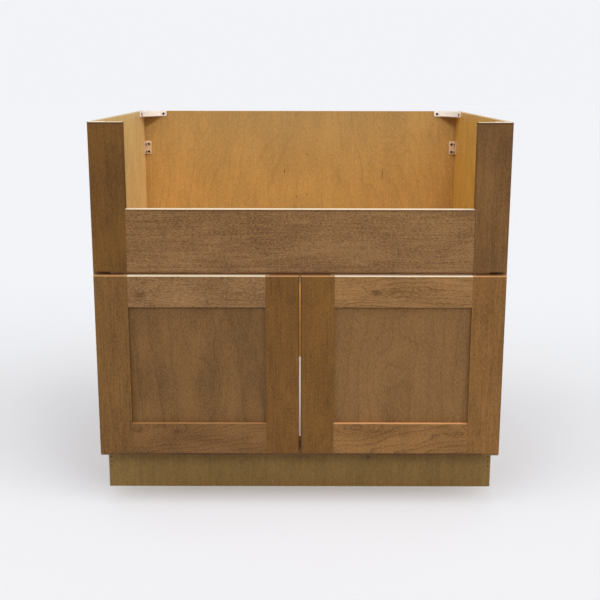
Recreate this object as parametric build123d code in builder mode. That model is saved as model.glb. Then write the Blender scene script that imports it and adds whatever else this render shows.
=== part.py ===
"""Farmhouse sink base cabinet: a plywood box behind a hardwood face frame, two overlay doors on
concealed hinges, and a notched upper front that leaves the space above the apron open for a sink.

Millimetres. +Z is up, the fronts face -Y, +X is to the right seen from the front. The origin is on
the floor, midway between the cabinet's sides and midway between the door fronts and the back.
"""

from build123d import *
import os
from math import sqrt

# ---- Driving dimensions ----
# Cabinet box
cabinet_width = 914.4
cabinet_height = 876.3
box_depth = 609.6          # face frame's front to the back's outer face
side_thickness = 12.7
back_thickness = 12.7
floor_thickness = 12.7
floor_drop = 6.35          # floor's top below the bottom rail's top
dado_depth = 5.0           # grooves in the sides that take the floor and the back

# Toe kick
toe_height = 114.3
toe_setback = 72.0         # face frame's front to the toe board's front
toe_board_thickness = 12.7

# Face frame
frame_thickness = 19.05
frame_stile_width = 38.1
bottom_rail_width = 38.1
mid_rail_width = 76.2
mid_rail_behind_door = 21.0    # how far the mid rail reaches down behind the doors
frame_tenon_length = 9.5
frame_tenon_thickness = 6.35

# Fronts: doors, front stiles and apron
front_thickness = 19.05
side_reveal = 4.8          # cabinet's side to the outer edge of the fronts
bottom_reveal = 14.3       # face frame's bottom to the doors' bottom
door_height = 414.0
center_gap = 4.4           # between the two doors
front_gap = 8.4            # doors' top to the upper front's bottom
front_stile_width = 74.0
apron_height = 138.1
apron_tongue_length = 9.5
apron_tongue_thickness = 6.35
edge_round = 1.0           # eased front edges

# Door frames
door_stile_width = 74.0
door_rail_width = 71.0
panel_thickness = 6.35
panel_recess = 9.0         # door's front to the panel's front
groove_depth = 9.5
panel_play = 1.5           # room for the panel to swell, at each edge

# Concealed hinges
bumper_gap = 2.5           # door's back to the face frame
bumper_clearance = 0.1
bumper_radius = 4.5
bumper_inset = 12.0        # from the door's edges to the bumper's centre
hinge_inset = 76.0         # from the door's ends to the hinge's centre
cup_radius = 17.5
cup_depth = 11.5
cup_wall = 0.8
cup_edge = 2.0             # door's outer edge to the cup
flange_thickness = 0.8
flange_width = 18.0
flange_height = 58.0
flange_corner = 4.0
flange_screw_spacing = 45.0
flange_screw_inset = 9.5   # cup's centre to the flange screws, away from the door's edge
pivot_edge = 5.5           # door's outer edge to the hinge axis
pivot_depth = 5.8          # door's back to the hinge axis, into the door
pin_radius = 0.8
pin_clearance = 0.1
pin_end_clear = 0.2        # pin's ends to the outside of the cup's wall
knuckle_radius = 1.6
arm_thickness = 1.5
arm_width = 9.0
arm_dip = 1.2              # how much deeper than the axis the arm lies in the cup
arm_plate_height = 40.0
arm_plate_reach = 16.0     # how far the arm's plate goes back along the frame stile
arm_plate_clear = 1.0      # face frame's front to the plate's front edge
arm_screw_spacing = 26.0

# Corner braces
brace_leg = 64.0
brace_tab = 17.0
brace_height = 15.0
brace_wall = 3.0
brace_lip = 1.6
brace_lip_height = 2.4
brace_boss_radius = 6.0
brace_boss_height = 12.0
brace_hole_radius = 2.6
brace_hole_inset = 17.0    # from both panels to the hole for the countertop screw

# Corner clips
clip_leg = 18.7
clip_height = 38.0
clip_thickness = 3.0
clip_round = 3.0
clip_screw_spacing = 21.6
clip_screw_reach = 11.5    # from the corner to the screws on each leg
upper_clip_drop = 104.3    # cabinet's top to the upper clips' middle
lower_clip_rise = 113.95   # floor's top to the lower clips' middle

# Fasteners: the screws, the nails and their holes are eight-sided, to keep the facets few
fastener_sides = 8
screw_head_radius = 3.3
screw_head_height = 2.0
screw_radius = 1.6
panel_screw_length = 11.0
hinge_screw_head_radius = 2.9
hinge_screw_head_height = 1.2
head_chamfer = 0.45        # share of a head's height that its rim is bevelled by
hinge_screw_length = 9.0
front_screw_length = 30.0
front_screw_margin = 55.0  # front stiles' ends to their screws
apron_screw_xs = (-300.0, -110.0, 110.0, 300.0)
nail_radius = 1.2
nail_length = 34.0
nail_zs = (52.0, 64.0, 76.0)

# ---- Places worked out from them ----
half_width = cabinet_width / 2
inner_half = half_width - side_thickness
total_depth = front_thickness + bumper_gap + box_depth
door_front_y = -total_depth / 2
door_back_y = door_front_y + front_thickness
frame_front_y = door_back_y + bumper_gap
frame_back_y = frame_front_y + frame_thickness
back_y = total_depth / 2
back_inner_y = back_y - back_thickness
toe_front_y = frame_front_y + toe_setback
toe_back_y = toe_front_y + toe_board_thickness

frame_bottom_z = toe_height
bottom_rail_top_z = frame_bottom_z + bottom_rail_width
floor_top_z = bottom_rail_top_z - floor_drop
floor_bottom_z = floor_top_z - floor_thickness
door_bottom_z = frame_bottom_z + bottom_reveal
door_top_z = door_bottom_z + door_height
front_bottom_z = door_top_z + front_gap
apron_top_z = front_bottom_z + apron_height
mid_rail_bottom_z = door_top_z - mid_rail_behind_door
mid_rail_top_z = mid_rail_bottom_z + mid_rail_width

frame_opening_half = half_width - frame_stile_width
front_outer = half_width - side_reveal
front_opening_half = front_outer - front_stile_width
upper_front_y = frame_front_y - front_thickness
door_inner = center_gap / 2
hinge_zs = (door_bottom_z + hinge_inset, door_top_z - hinge_inset)
pivot_x = front_outer - pivot_edge
pivot_y = door_back_y - pivot_depth
cup_center_x = front_outer - cup_edge - cup_radius
pin_half_length = sqrt(cup_radius**2 - (pivot_x - cup_center_x + pin_radius) ** 2) - pin_end_clear
lower_clip_z = floor_top_z + lower_clip_rise
upper_clip_z = cabinet_height - upper_clip_drop
clip_zs = (lower_clip_z, upper_clip_z)
# Along X, from the door's middle edge outwards: where the frame's opening starts and ends
door_opening = (door_inner + door_stile_width, front_outer - door_stile_width)
# Along Y: the groove that holds the panel and the rails' tongues
panel_slot = (door_front_y + panel_recess, door_front_y + panel_recess + panel_thickness)

LEFT, RIGHT = -1, 1
SIDE_NAMES = {LEFT: "left", RIGHT: "right"}


# ---- Helpers ----
def rectangle(a0, a1, b0, b1, mode=Mode.ADD):
    """Adds the rectangle between two pairs of coordinates to the sketch that is open."""
    with Locations(((a0 + a1) / 2, (b0 + b1) / 2)):
        Rectangle(abs(a1 - a0), abs(b1 - b0), mode=mode)


def facing(x, y, z, direction):
    """A plane at a point, with its normal along the direction given."""
    return Plane(origin=(x, y, z), z_dir=direction)


def board(x0, x1, y0, y1, z0, z1):
    """A plain board between two opposite corners."""
    with BuildPart() as plain:
        with BuildSketch(Plane.XY.offset(z0)):
            rectangle(x0, x1, y0, y1)
        extrude(amount=z1 - z0)
    return plain.part


def middle_band(y0, thickness, band):
    """The two Y values of a tongue centred in a board that starts at y0."""
    start = y0 + (thickness - band) / 2
    return start, start + band


def drilled(piece, places, radius, depth):
    """The piece with a fastener's hole sunk into it at each plane, against the plane's normal."""
    with BuildPart() as bored:
        add(piece)
        with BuildSketch(*places):
            RegularPolygon(radius, fastener_sides)
        extrude(amount=-depth, mode=Mode.SUBTRACT)
    return bored.part


def screw(place, length, head_radius, head_height):
    """One screw, whose head stands on the plane and whose shank goes in against its normal."""
    with BuildPart() as fastener:
        with BuildSketch(place):
            RegularPolygon(head_radius, fastener_sides)
        extrude(amount=head_height)
        rim = fastener.edges().group_by(Axis(place.origin, place.z_dir))[-1]
        chamfer(rim, head_height * head_chamfer)
        with BuildSketch(place):
            RegularPolygon(screw_radius, fastener_sides)
        extrude(amount=-length)
    return fastener.part


def screws(places, length, head_radius, head_height):
    """A group of separate, identical screws."""
    with BuildPart() as group:
        for place in places:
            add(screw(place, length, head_radius, head_height))
    return group.part


def panel_screws(places):
    """Pan-head screws that hold a plastic corner piece to a plywood panel."""
    return screws(places, panel_screw_length, screw_head_radius, screw_head_height)


def hinge_screws(places):
    """Low-head screws that hold the hinges."""
    return screws(places, hinge_screw_length, hinge_screw_head_radius, hinge_screw_head_height)


# ---- Where the fasteners go ----
def brace_screw_places(side):
    """On the brace's two end tabs: the one on the side panel, then the one on the back."""
    reach = brace_leg - brace_tab / 2
    z = cabinet_height - brace_height / 2
    on_side = facing(side * (inner_half - brace_wall), back_inner_y - reach, z, (-side, 0, 0))
    on_back = facing(side * (inner_half - reach), back_inner_y - brace_wall, z, (0, -1, 0))
    return on_side, on_back


def clip_screw_places(side, clip_z):
    """Two screws on each leg of a corner clip: those on the side panel, then those on the back."""
    heights = (clip_z - clip_screw_spacing / 2, clip_z + clip_screw_spacing / 2)
    face_x = side * (inner_half - clip_thickness)
    face_y = back_inner_y - clip_thickness
    on_side = [facing(face_x, back_inner_y - clip_screw_reach, z, (-side, 0, 0)) for z in heights]
    on_back = [facing(side * (inner_half - clip_screw_reach), face_y, z, (0, -1, 0)) for z in heights]
    return on_side, on_back


def arm_screw_places(side):
    """Two screws through each hinge arm's plate, into the edge of the frame stile."""
    face_x = side * (frame_opening_half - arm_thickness)
    y = frame_front_y + arm_plate_clear + (arm_plate_reach - arm_plate_clear) / 2
    offsets = (-arm_screw_spacing / 2, arm_screw_spacing / 2)
    return [facing(face_x, y, z + dz, (-side, 0, 0)) for z in hinge_zs for dz in offsets]


def flange_screw_places(side):
    """Two screws through each hinge cup's flange, into the door's outer stile."""
    x = side * (cup_center_x - flange_screw_inset)
    offsets = (-flange_screw_spacing / 2, flange_screw_spacing / 2)
    face_y = door_back_y + flange_thickness
    return [facing(x, face_y, z + dz, (0, 1, 0)) for z in hinge_zs for dz in offsets]


def front_stile_screw_places(side):
    """Two screws from inside the cabinet, through the frame stile into the upper front's stile."""
    x = side * (frame_opening_half + inner_half) / 2
    heights = (front_bottom_z + front_screw_margin, cabinet_height - front_screw_margin)
    return [facing(x, frame_back_y, z, (0, 1, 0)) for z in heights]


def apron_screw_places():
    """A row of screws from inside the cabinet, through the mid rail into the apron."""
    z = (front_bottom_z + mid_rail_top_z) / 2
    return [facing(x, frame_back_y, z, (0, 1, 0)) for x in apron_screw_xs]


def nail_places(side):
    """Three nails through one end of the toe board, into the side panel's notched edge."""
    x = side * (half_width - side_thickness / 2)
    return [facing(x, toe_front_y, z, (0, -1, 0)) for z in nail_zs]


def moved_in(places, distance):
    """The same places, moved against their normals, onto the next surface of the stack."""
    return [place.offset(-distance) for place in places]


# ---- Cabinet box ----
def side_panel(side):
    """A plywood side with its toe notch, and grooves inside for the floor and the back."""
    with BuildPart() as panel:
        with BuildSketch(Plane.YZ.offset(side * half_width)):
            with BuildLine():
                Polyline(
                    (frame_back_y, frame_bottom_z),
                    (frame_back_y, cabinet_height),
                    (back_y, cabinet_height),
                    (back_y, 0),
                    (toe_back_y, 0),
                    (toe_back_y, frame_bottom_z),
                    close=True,
                )
            make_face()
        extrude(amount=-side * side_thickness)
        with BuildSketch(Plane.YZ.offset(side * inner_half)):
            rectangle(frame_back_y, back_inner_y, floor_bottom_z, floor_top_z)
            rectangle(back_inner_y, back_y, 0, cabinet_height)
        extrude(amount=side * dado_depth, mode=Mode.SUBTRACT)
    on_side = [brace_screw_places(side)[0]]
    bored = drilled(
        panel.part, moved_in(on_side, brace_wall), screw_radius, panel_screw_length - brace_wall
    )
    clip_places = [place for z in clip_zs for place in clip_screw_places(side, z)[0]]
    bored = drilled(
        bored, moved_in(clip_places, clip_thickness), screw_radius, panel_screw_length - clip_thickness
    )
    edge_places = moved_in(nail_places(side), toe_board_thickness)
    return drilled(bored, edge_places, nail_radius, nail_length - toe_board_thickness)


def back_panel():
    """The plywood back, let into the sides' rear grooves."""
    half = inner_half + dado_depth
    piece = board(-half, half, back_inner_y, back_y, 0, cabinet_height)
    brace_places = [brace_screw_places(side)[1] for side in SIDE_NAMES]
    bored = drilled(
        piece, moved_in(brace_places, brace_wall), screw_radius, panel_screw_length - brace_wall
    )
    clip_places = [
        place for side in SIDE_NAMES for z in clip_zs for place in clip_screw_places(side, z)[1]
    ]
    return drilled(
        bored, moved_in(clip_places, clip_thickness), screw_radius, panel_screw_length - clip_thickness
    )


def floor_panel():
    """The plywood floor, let into the sides' grooves behind the bottom rail."""
    half = inner_half + dado_depth
    return board(-half, half, frame_back_y, back_inner_y, floor_bottom_z, floor_top_z)


def toe_board():
    """The toe kick's board, as wide as the cabinet, over the sides' notched edges."""
    piece = board(-half_width, half_width, toe_front_y, toe_back_y, 0, toe_height)
    places = [place for side in SIDE_NAMES for place in nail_places(side)]
    return drilled(piece, places, nail_radius, toe_board_thickness)


def toe_nails():
    """Finishing nails, driven flush."""
    with BuildPart() as nails:
        for side in SIDE_NAMES:
            for place in nail_places(side):
                with BuildSketch(place):
                    RegularPolygon(nail_radius, fastener_sides)
                extrude(amount=-nail_length)
    return nails.part


# ---- Face frame ----
def frame_stile(side):
    """A face frame stile, with mortises for both rails and pilot holes for the hinge arms."""
    tongue = middle_band(frame_front_y, frame_thickness, frame_tenon_thickness)
    with BuildPart() as stile:
        with BuildSketch(Plane.XY.offset(frame_bottom_z)):
            rectangle(side * frame_opening_half, side * half_width, frame_front_y, frame_back_y)
        extrude(amount=cabinet_height - frame_bottom_z)
        for low, high in ((frame_bottom_z, bottom_rail_top_z), (mid_rail_bottom_z, mid_rail_top_z)):
            with BuildSketch(Plane.XY.offset(low)):
                rectangle(
                    side * frame_opening_half, side * (frame_opening_half + frame_tenon_length), *tongue
                )
            extrude(amount=high - low, mode=Mode.SUBTRACT)
    arm_places = moved_in(arm_screw_places(side), arm_thickness)
    bored = drilled(stile.part, arm_places, screw_radius, hinge_screw_length - arm_thickness)
    return drilled(bored, front_stile_screw_places(side), screw_radius, frame_thickness)


def frame_rail(low, high):
    """A face frame rail with a tenon at each end."""
    tongue = middle_band(frame_front_y, frame_thickness, frame_tenon_thickness)
    reach = frame_opening_half + frame_tenon_length
    with BuildPart() as rail:
        with BuildSketch(Plane.XY.offset(low)):
            rectangle(-frame_opening_half, frame_opening_half, frame_front_y, frame_back_y)
            rectangle(-reach, reach, *tongue)
        extrude(amount=high - low)
    return rail.part


def mid_rail():
    """The rail behind the apron's foot and the door tops, drilled for the apron's screws."""
    rail = frame_rail(mid_rail_bottom_z, mid_rail_top_z)
    return drilled(rail, apron_screw_places(), screw_radius, frame_thickness)


# ---- Upper front ----
def front_stile(side):
    """The upper front's stile: it covers the frame stile and stands beside the sink opening."""
    tongue = middle_band(upper_front_y, front_thickness, apron_tongue_thickness)
    with BuildPart() as stile:
        with BuildSketch(Plane.XY.offset(front_bottom_z)):
            rectangle(side * front_opening_half, side * front_outer, upper_front_y, frame_front_y)
        extrude(amount=cabinet_height - front_bottom_z)
        fillet(stile.faces().sort_by(Axis.Y)[0].edges(), edge_round)
        with BuildSketch(Plane.XY.offset(front_bottom_z)):
            rectangle(
                side * front_opening_half, side * (front_opening_half + apron_tongue_length), *tongue
            )
        extrude(amount=apron_height, mode=Mode.SUBTRACT)
    places = moved_in(front_stile_screw_places(side), frame_thickness)
    return drilled(stile.part, places, screw_radius, front_screw_length - frame_thickness)


def apron_panel():
    """The apron: one wide board between the upper front's stiles, below the sink opening."""
    tongue = middle_band(upper_front_y, front_thickness, apron_tongue_thickness)
    reach = front_opening_half + apron_tongue_length
    with BuildPart() as apron:
        with BuildSketch(Plane.XY.offset(front_bottom_z)):
            rectangle(-front_opening_half, front_opening_half, upper_front_y, frame_front_y)
        extrude(amount=apron_height)
        fillet(apron.faces().sort_by(Axis.Y)[0].edges().filter_by(Axis.X), edge_round)
        with BuildSketch(Plane.XY.offset(front_bottom_z)):
            rectangle(-reach, reach, *tongue)
        extrude(amount=apron_height)
    places = moved_in(apron_screw_places(), frame_thickness)
    return drilled(apron.part, places, screw_radius, front_screw_length - frame_thickness)


# ---- Corner braces and clips ----
def rear_corner(side, *points):
    """Points given as distances in from the side panel and forward from the back panel."""
    return [(side * (inner_half - inward), back_inner_y - forward) for inward, forward in points]


def corner_brace(side):
    """A moulded brace across a rear top corner: an open web between two tabs, under a flat top
    that carries the boss for a countertop screw."""
    z_low = cabinet_height - brace_height
    web_start = brace_leg - brace_tab
    pocket_side = web_start - brace_wall * sqrt(2)
    lip_outset = brace_lip * sqrt(2)
    body = rear_corner(
        side,
        (0, 0),
        (brace_leg, 0),
        (brace_leg, brace_wall),
        (web_start, brace_wall),
        (brace_wall, web_start),
        (brace_wall, brace_leg),
        (0, brace_leg),
    )
    pocket = rear_corner(
        side,
        (brace_wall, brace_wall),
        (pocket_side, brace_wall),
        (brace_wall, pocket_side),
    )
    lip = rear_corner(
        side,
        (web_start, brace_wall),
        (web_start + lip_outset, brace_wall),
        (brace_wall, web_start + lip_outset),
        (brace_wall, web_start),
    )
    boss = rear_corner(side, (brace_hole_inset, brace_hole_inset))[0]
    with BuildPart() as brace:
        with BuildSketch(Plane.XY.offset(z_low)):
            with BuildLine():
                Polyline(*body, close=True)
            make_face()
        extrude(amount=brace_height)
        with BuildSketch(Plane.XY.offset(z_low)):
            with BuildLine():
                Polyline(*pocket, close=True)
            make_face()
        extrude(amount=brace_height - brace_wall, mode=Mode.SUBTRACT)
        with BuildSketch(Plane.XY.offset(z_low)):
            with BuildLine():
                Polyline(*lip, close=True)
            make_face()
        extrude(amount=brace_lip_height)
        with BuildSketch(Plane.XY.offset(cabinet_height)):
            with Locations(boss):
                Circle(brace_boss_radius)
        extrude(amount=-brace_boss_height)
        with Locations(facing(*boss, cabinet_height, (0, 0, 1))):
            Hole(brace_hole_radius, brace_height)
    return drilled(brace.part, brace_screw_places(side), screw_radius, brace_wall)


def corner_clip(side, clip_z):
    """An L-shaped clip that ties a side panel to the back."""
    outline = rear_corner(
        side,
        (0, 0),
        (clip_leg, 0),
        (clip_leg, clip_thickness),
        (clip_thickness, clip_thickness),
        (clip_thickness, clip_leg),
        (0, clip_leg),
    )
    with BuildPart() as clip:
        with BuildSketch(Plane.XY.offset(clip_z - clip_height / 2)):
            with BuildLine():
                Polyline(*outline, close=True)
            make_face()
        extrude(amount=clip_height)
        back_tips = clip.edges().filter_by(Axis.Y).group_by(Axis.X)[0 if side == RIGHT else -1]
        side_tips = clip.edges().filter_by(Axis.X).group_by(Axis.Y)[0]
        fillet(back_tips + side_tips, clip_round)
    on_side, on_back = clip_screw_places(side, clip_z)
    return drilled(clip.part, on_side + on_back, screw_radius, clip_thickness)


# ---- Doors ----
def door_stile(side, edge_x, joint_x):
    """A door stile from its free edge to its joint edge, grooved along the joint edge."""
    groove_x = joint_x + (groove_depth if edge_x > joint_x else -groove_depth)
    with BuildPart() as stile:
        with BuildSketch(Plane.XY.offset(door_bottom_z)):
            rectangle(side * edge_x, side * joint_x, door_front_y, door_back_y)
        extrude(amount=door_height)
        front_edges = stile.faces().sort_by(Axis.Y)[0].edges().sort_by(Axis.X)
        free_edges = front_edges[1:] if side * edge_x > side * joint_x else front_edges[:-1]
        fillet(free_edges, edge_round)
        with BuildSketch(Plane.XY.offset(door_bottom_z)):
            rectangle(side * joint_x, side * groove_x, *panel_slot)
        extrude(amount=door_height, mode=Mode.SUBTRACT)
    return stile.part


def outer_stile(side):
    """The hinge stile, with its cup bores and the pilot holes for the flange screws."""
    stile = door_stile(side, front_outer, front_outer - door_stile_width)
    cups = [facing(side * cup_center_x, door_back_y, z, (0, 1, 0)) for z in hinge_zs]
    with BuildPart() as bored:
        add(stile)
        with Locations(*cups):
            Hole(cup_radius, cup_depth)
    places = moved_in(flange_screw_places(side), flange_thickness)
    return drilled(bored.part, places, screw_radius, hinge_screw_length - flange_thickness)


def door_rail(side, is_top):
    """A door rail with a tongue at each end, grooved along the edge that faces the panel."""
    low = door_top_z - door_rail_width if is_top else door_bottom_z
    groove_low = low if is_top else low + door_rail_width - groove_depth
    tongue_low = low + groove_depth if is_top else low
    near, far = side * door_opening[0], side * door_opening[1]
    tongue_near, tongue_far = side * (door_opening[0] - groove_depth), side * (door_opening[1] + groove_depth)
    with BuildPart() as rail:
        with BuildSketch(Plane.XY.offset(low)):
            rectangle(near, far, door_front_y, door_back_y)
        extrude(amount=door_rail_width)
        front_edges = rail.faces().sort_by(Axis.Y)[0].edges().sort_by(Axis.Z)
        fillet(front_edges[-1] if is_top else front_edges[0], edge_round)
        with BuildSketch(Plane.XY.offset(tongue_low)):
            rectangle(tongue_near, tongue_far, *panel_slot)
        extrude(amount=door_rail_width - groove_depth)
        with BuildSketch(Plane.XY.offset(groove_low)):
            rectangle(near, far, *panel_slot)
        extrude(amount=groove_depth, mode=Mode.SUBTRACT)
    return rail.part


def door_panel(side):
    """The flat centre panel, in the frame's grooves with room to swell at its edges."""
    reach = groove_depth - panel_play
    near, far = side * (door_opening[0] - reach), side * (door_opening[1] + reach)
    low = door_bottom_z + door_rail_width - reach
    high = door_top_z - door_rail_width + reach
    return board(near, far, *panel_slot, low, high)


def door_bumpers(side):
    """Two soft discs that the door closes on."""
    height = bumper_gap - bumper_clearance
    x = side * (door_inner + bumper_inset)
    with BuildPart() as bumpers:
        for z in (door_bottom_z + bumper_inset, door_top_z - bumper_inset):
            with BuildSketch(facing(x, door_back_y, z, (0, 1, 0))):
                Circle(bumper_radius)
            extrude(amount=height)
    return bumpers.part


# ---- Hinges ----
def pin_axis(side, z):
    """A level plane at one hinge's height, centred on its pin."""
    return facing(side * pivot_x, pivot_y, z, (0, 0, 1))


def hinge_cup(side, z):
    """A drawn steel cup with its flange, open towards the cabinet and drilled for its pin."""
    back = facing(side * cup_center_x, door_back_y, z, (0, 1, 0))
    ears = Plane(
        origin=(side * (cup_center_x - flange_screw_inset), door_back_y, z),
        x_dir=(1, 0, 0),
        z_dir=(0, 1, 0),
    )
    with BuildPart() as cup:
        with BuildSketch(back):
            Circle(cup_radius)
        extrude(amount=-cup_depth)
        with BuildSketch(ears) as flange:
            Rectangle(flange_width, flange_height)
            chamfer(flange.vertices(), flange_corner)
        extrude(amount=flange_thickness)
        with BuildSketch(back):
            Circle(cup_radius)
        extrude(amount=flange_thickness)
        with BuildSketch(back.offset(flange_thickness)):
            Circle(cup_radius - cup_wall)
        extrude(amount=-(flange_thickness + cup_depth - cup_wall), mode=Mode.SUBTRACT)
        with BuildSketch(pin_axis(side, z)):
            Circle(pin_radius)
        extrude(amount=pin_half_length, both=True, mode=Mode.SUBTRACT)
    near = [place for place in flange_screw_places(side) if abs(place.origin.Z - z) < flange_height / 2]
    return drilled(cup.part, near, screw_radius, flange_thickness)


def hinge_cups(side):
    """Both cups of one door."""
    with BuildPart() as cups:
        for z in hinge_zs:
            add(hinge_cup(side, z))
    return cups.part


def hinge_pins(side):
    """The pins that the doors turn on, one across each cup."""
    with BuildPart() as pins:
        for z in hinge_zs:
            with BuildSketch(pin_axis(side, z)):
                Circle(pin_radius)
            extrude(amount=pin_half_length, both=True)
    return pins.part


def hinge_arm(side, z):
    """A bent arm: its knuckle turns on the pin, and its plate lies on the frame stile's edge."""
    def arm_rectangle(inward0, inward1, back0, back1):
        """A rectangle given by distances from the pin, inwards and towards the back."""
        rectangle(
            side * (pivot_x - inward0), side * (pivot_x - inward1), pivot_y + back0, pivot_y + back1
        )

    plate_inner = pivot_x - frame_opening_half
    plate_outer = plate_inner + arm_thickness
    plate_end = frame_front_y + arm_plate_reach - pivot_y
    plate_start = frame_front_y + arm_plate_clear - pivot_y
    arm_deep = -arm_dip - arm_thickness / 2
    with BuildPart() as arm:
        with BuildSketch(Plane.XY.offset(z)):
            arm_rectangle(0, plate_outer, arm_deep, arm_deep + arm_thickness)
            arm_rectangle(plate_inner, plate_outer, arm_deep, plate_end)
            with Locations((side * pivot_x, pivot_y)):
                Circle(knuckle_radius)
                Circle(pin_radius + pin_clearance, mode=Mode.SUBTRACT)
        extrude(amount=arm_width / 2, both=True)
        with BuildSketch(Plane.XY.offset(z)):
            arm_rectangle(plate_inner, plate_outer, plate_start, plate_end)
        extrude(amount=arm_plate_height / 2, both=True)
    near = [place for place in arm_screw_places(side) if abs(place.origin.Z - z) < arm_plate_height / 2]
    return drilled(arm.part, near, screw_radius, arm_thickness)


# ---- The assembly ----
def cabinet_pieces():
    """Every piece that stands still, by name."""
    pieces = {
        "back_panel": back_panel(),
        "floor_panel": floor_panel(),
        "toe_kick_board": toe_board(),
        "toe_kick_nails": toe_nails(),
        "frame_bottom_rail": frame_rail(frame_bottom_z, bottom_rail_top_z),
        "frame_mid_rail": mid_rail(),
        "apron_panel": apron_panel(),
    }
    for side, name in SIDE_NAMES.items():
        pieces[f"{name}_side_panel"] = side_panel(side)
        pieces[f"frame_{name}_stile"] = frame_stile(side)
        pieces[f"front_{name}_stile"] = front_stile(side)
        pieces[f"{name}_corner_brace"] = corner_brace(side)
        pieces[f"{name}_upper_clip"] = corner_clip(side, upper_clip_z)
        pieces[f"{name}_lower_clip"] = corner_clip(side, lower_clip_z)
        for level, z in zip(("lower", "upper"), hinge_zs):
            pieces[f"{name}_{level}_hinge_arm"] = hinge_arm(side, z)

    sides = list(SIDE_NAMES)
    brace_places = [place for side in sides for place in brace_screw_places(side)]
    clip_places = [
        place
        for side in sides
        for z in clip_zs
        for leg in clip_screw_places(side, z)
        for place in leg
    ]
    front_places = [place for side in sides for place in front_stile_screw_places(side)]
    pieces["brace_screws"] = panel_screws(brace_places)
    pieces["clip_screws"] = panel_screws(clip_places)
    pieces["hinge_arm_screws"] = hinge_screws([place for side in sides for place in arm_screw_places(side)])
    pieces["front_screws"] = screws(
        front_places + apron_screw_places(), front_screw_length, screw_head_radius, screw_head_height
    )
    return pieces


def door_pieces(side):
    """Every piece that swings with one door, by name."""
    name = SIDE_NAMES[side]
    return {
        f"{name}_door_outer_stile": outer_stile(side),
        f"{name}_door_inner_stile": door_stile(side, door_inner, door_inner + door_stile_width),
        f"{name}_door_top_rail": door_rail(side, is_top=True),
        f"{name}_door_bottom_rail": door_rail(side, is_top=False),
        f"{name}_door_panel": door_panel(side),
        f"{name}_door_bumpers": door_bumpers(side),
        f"{name}_hinge_cups": hinge_cups(side),
        f"{name}_hinge_pins": hinge_pins(side),
        f"{name}_hinge_cup_screws": hinge_screws(flange_screw_places(side)),
    }


all_pieces = cabinet_pieces()
for door_side in SIDE_NAMES:
    all_pieces.update(door_pieces(door_side))

os.makedirs("parts", exist_ok=True)
for piece_name, piece in all_pieces.items():
    piece.label = piece_name
    export_step(piece, f"parts/{piece_name}.step")
print(f"{len(all_pieces)} sub-parts written")
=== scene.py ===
"""Looks of the farmhouse sink base cabinet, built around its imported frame.

The boards, hinges and moulded corners keep the frame's own shapes and get stained, varnished, raw,
plastic and metal finishes here. Screws, nails and the moulded corner pieces are modelled again with
the roundings and recesses that the frame leaves out. Metres throughout, in the frame's axes: +Z up,
fronts facing -Y, +X to the right seen from the front.
"""

import logging
import math
from dataclasses import dataclass, field
from enum import Enum

import bpy
from mathutils import Matrix, Vector


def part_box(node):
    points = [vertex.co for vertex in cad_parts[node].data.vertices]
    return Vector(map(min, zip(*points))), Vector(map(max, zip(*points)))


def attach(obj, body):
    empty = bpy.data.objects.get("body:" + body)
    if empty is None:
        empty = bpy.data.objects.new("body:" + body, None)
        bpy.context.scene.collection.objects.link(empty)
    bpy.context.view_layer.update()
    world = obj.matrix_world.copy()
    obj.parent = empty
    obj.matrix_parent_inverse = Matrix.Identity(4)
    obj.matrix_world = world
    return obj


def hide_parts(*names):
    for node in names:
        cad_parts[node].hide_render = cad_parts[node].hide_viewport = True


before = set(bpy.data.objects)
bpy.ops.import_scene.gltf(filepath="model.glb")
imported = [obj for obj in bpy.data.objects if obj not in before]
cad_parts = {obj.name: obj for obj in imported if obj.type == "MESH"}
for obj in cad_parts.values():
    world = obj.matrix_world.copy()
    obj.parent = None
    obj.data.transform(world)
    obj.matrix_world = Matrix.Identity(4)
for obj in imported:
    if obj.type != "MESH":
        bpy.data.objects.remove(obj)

LOG = logging.getLogger("cabinet")
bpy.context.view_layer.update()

# The photograph's frame is square.
PHOTO_PIXELS = 600
MM = 0.001

# A place beyond every piece, for an edge or a knot that a board doesn't have.
NOWHERE = 9.0

Color = tuple[float, float, float]
Spot = tuple[float, float, float]  # place across the grain, size, place along the grain
Mark = tuple[float, float, float, float]  # place across, height, half width, half height


def srgb(red: int, green: int, blue: int) -> Color:
    """Turns a colour as it is seen on a screen into the linear colour that shaders use.

    Args:
        red: Red level, 0 to 255.
        green: Green level, 0 to 255.
        blue: Blue level, 0 to 255.

    Returns:
        The linear colour.
    """

    def linear(level: int) -> float:
        """One channel of it."""
        share = level / 255
        return share / 12.92 if share <= 0.04045 else ((share + 0.055) / 1.055) ** 2.4

    return linear(red), linear(green), linear(blue)


def toned(color: Color, *factors: float) -> Color:
    """A colour made lighter, darker or warmer.

    Args:
        color: The linear colour.
        factors: One factor for all its channels, or one for each.

    Returns:
        The new colour.
    """
    per_channel = factors * 3 if len(factors) == 1 else factors
    return tuple(channel * factor for channel, factor in zip(color, per_channel))


class Side(Enum):
    """The two sides of the cabinet, seen from the front. The value is the sign of X there."""

    LEFT = -1
    RIGHT = 1

    @property
    def word(self) -> str:
        """The side's name as the frame's nodes spell it."""
        return self.name.lower()


class Grain(Enum):
    """Which way a board's grain runs."""

    ACROSS = "X"
    UPRIGHT = "Z"


# ---------------------------------------------------------------------------------------------
# Wiring shader nodes
# ---------------------------------------------------------------------------------------------
# The Mix node keeps its colour sockets at these places.
MIX_FIRST, MIX_SECOND, MIX_RESULT = 6, 7, 2


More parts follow.
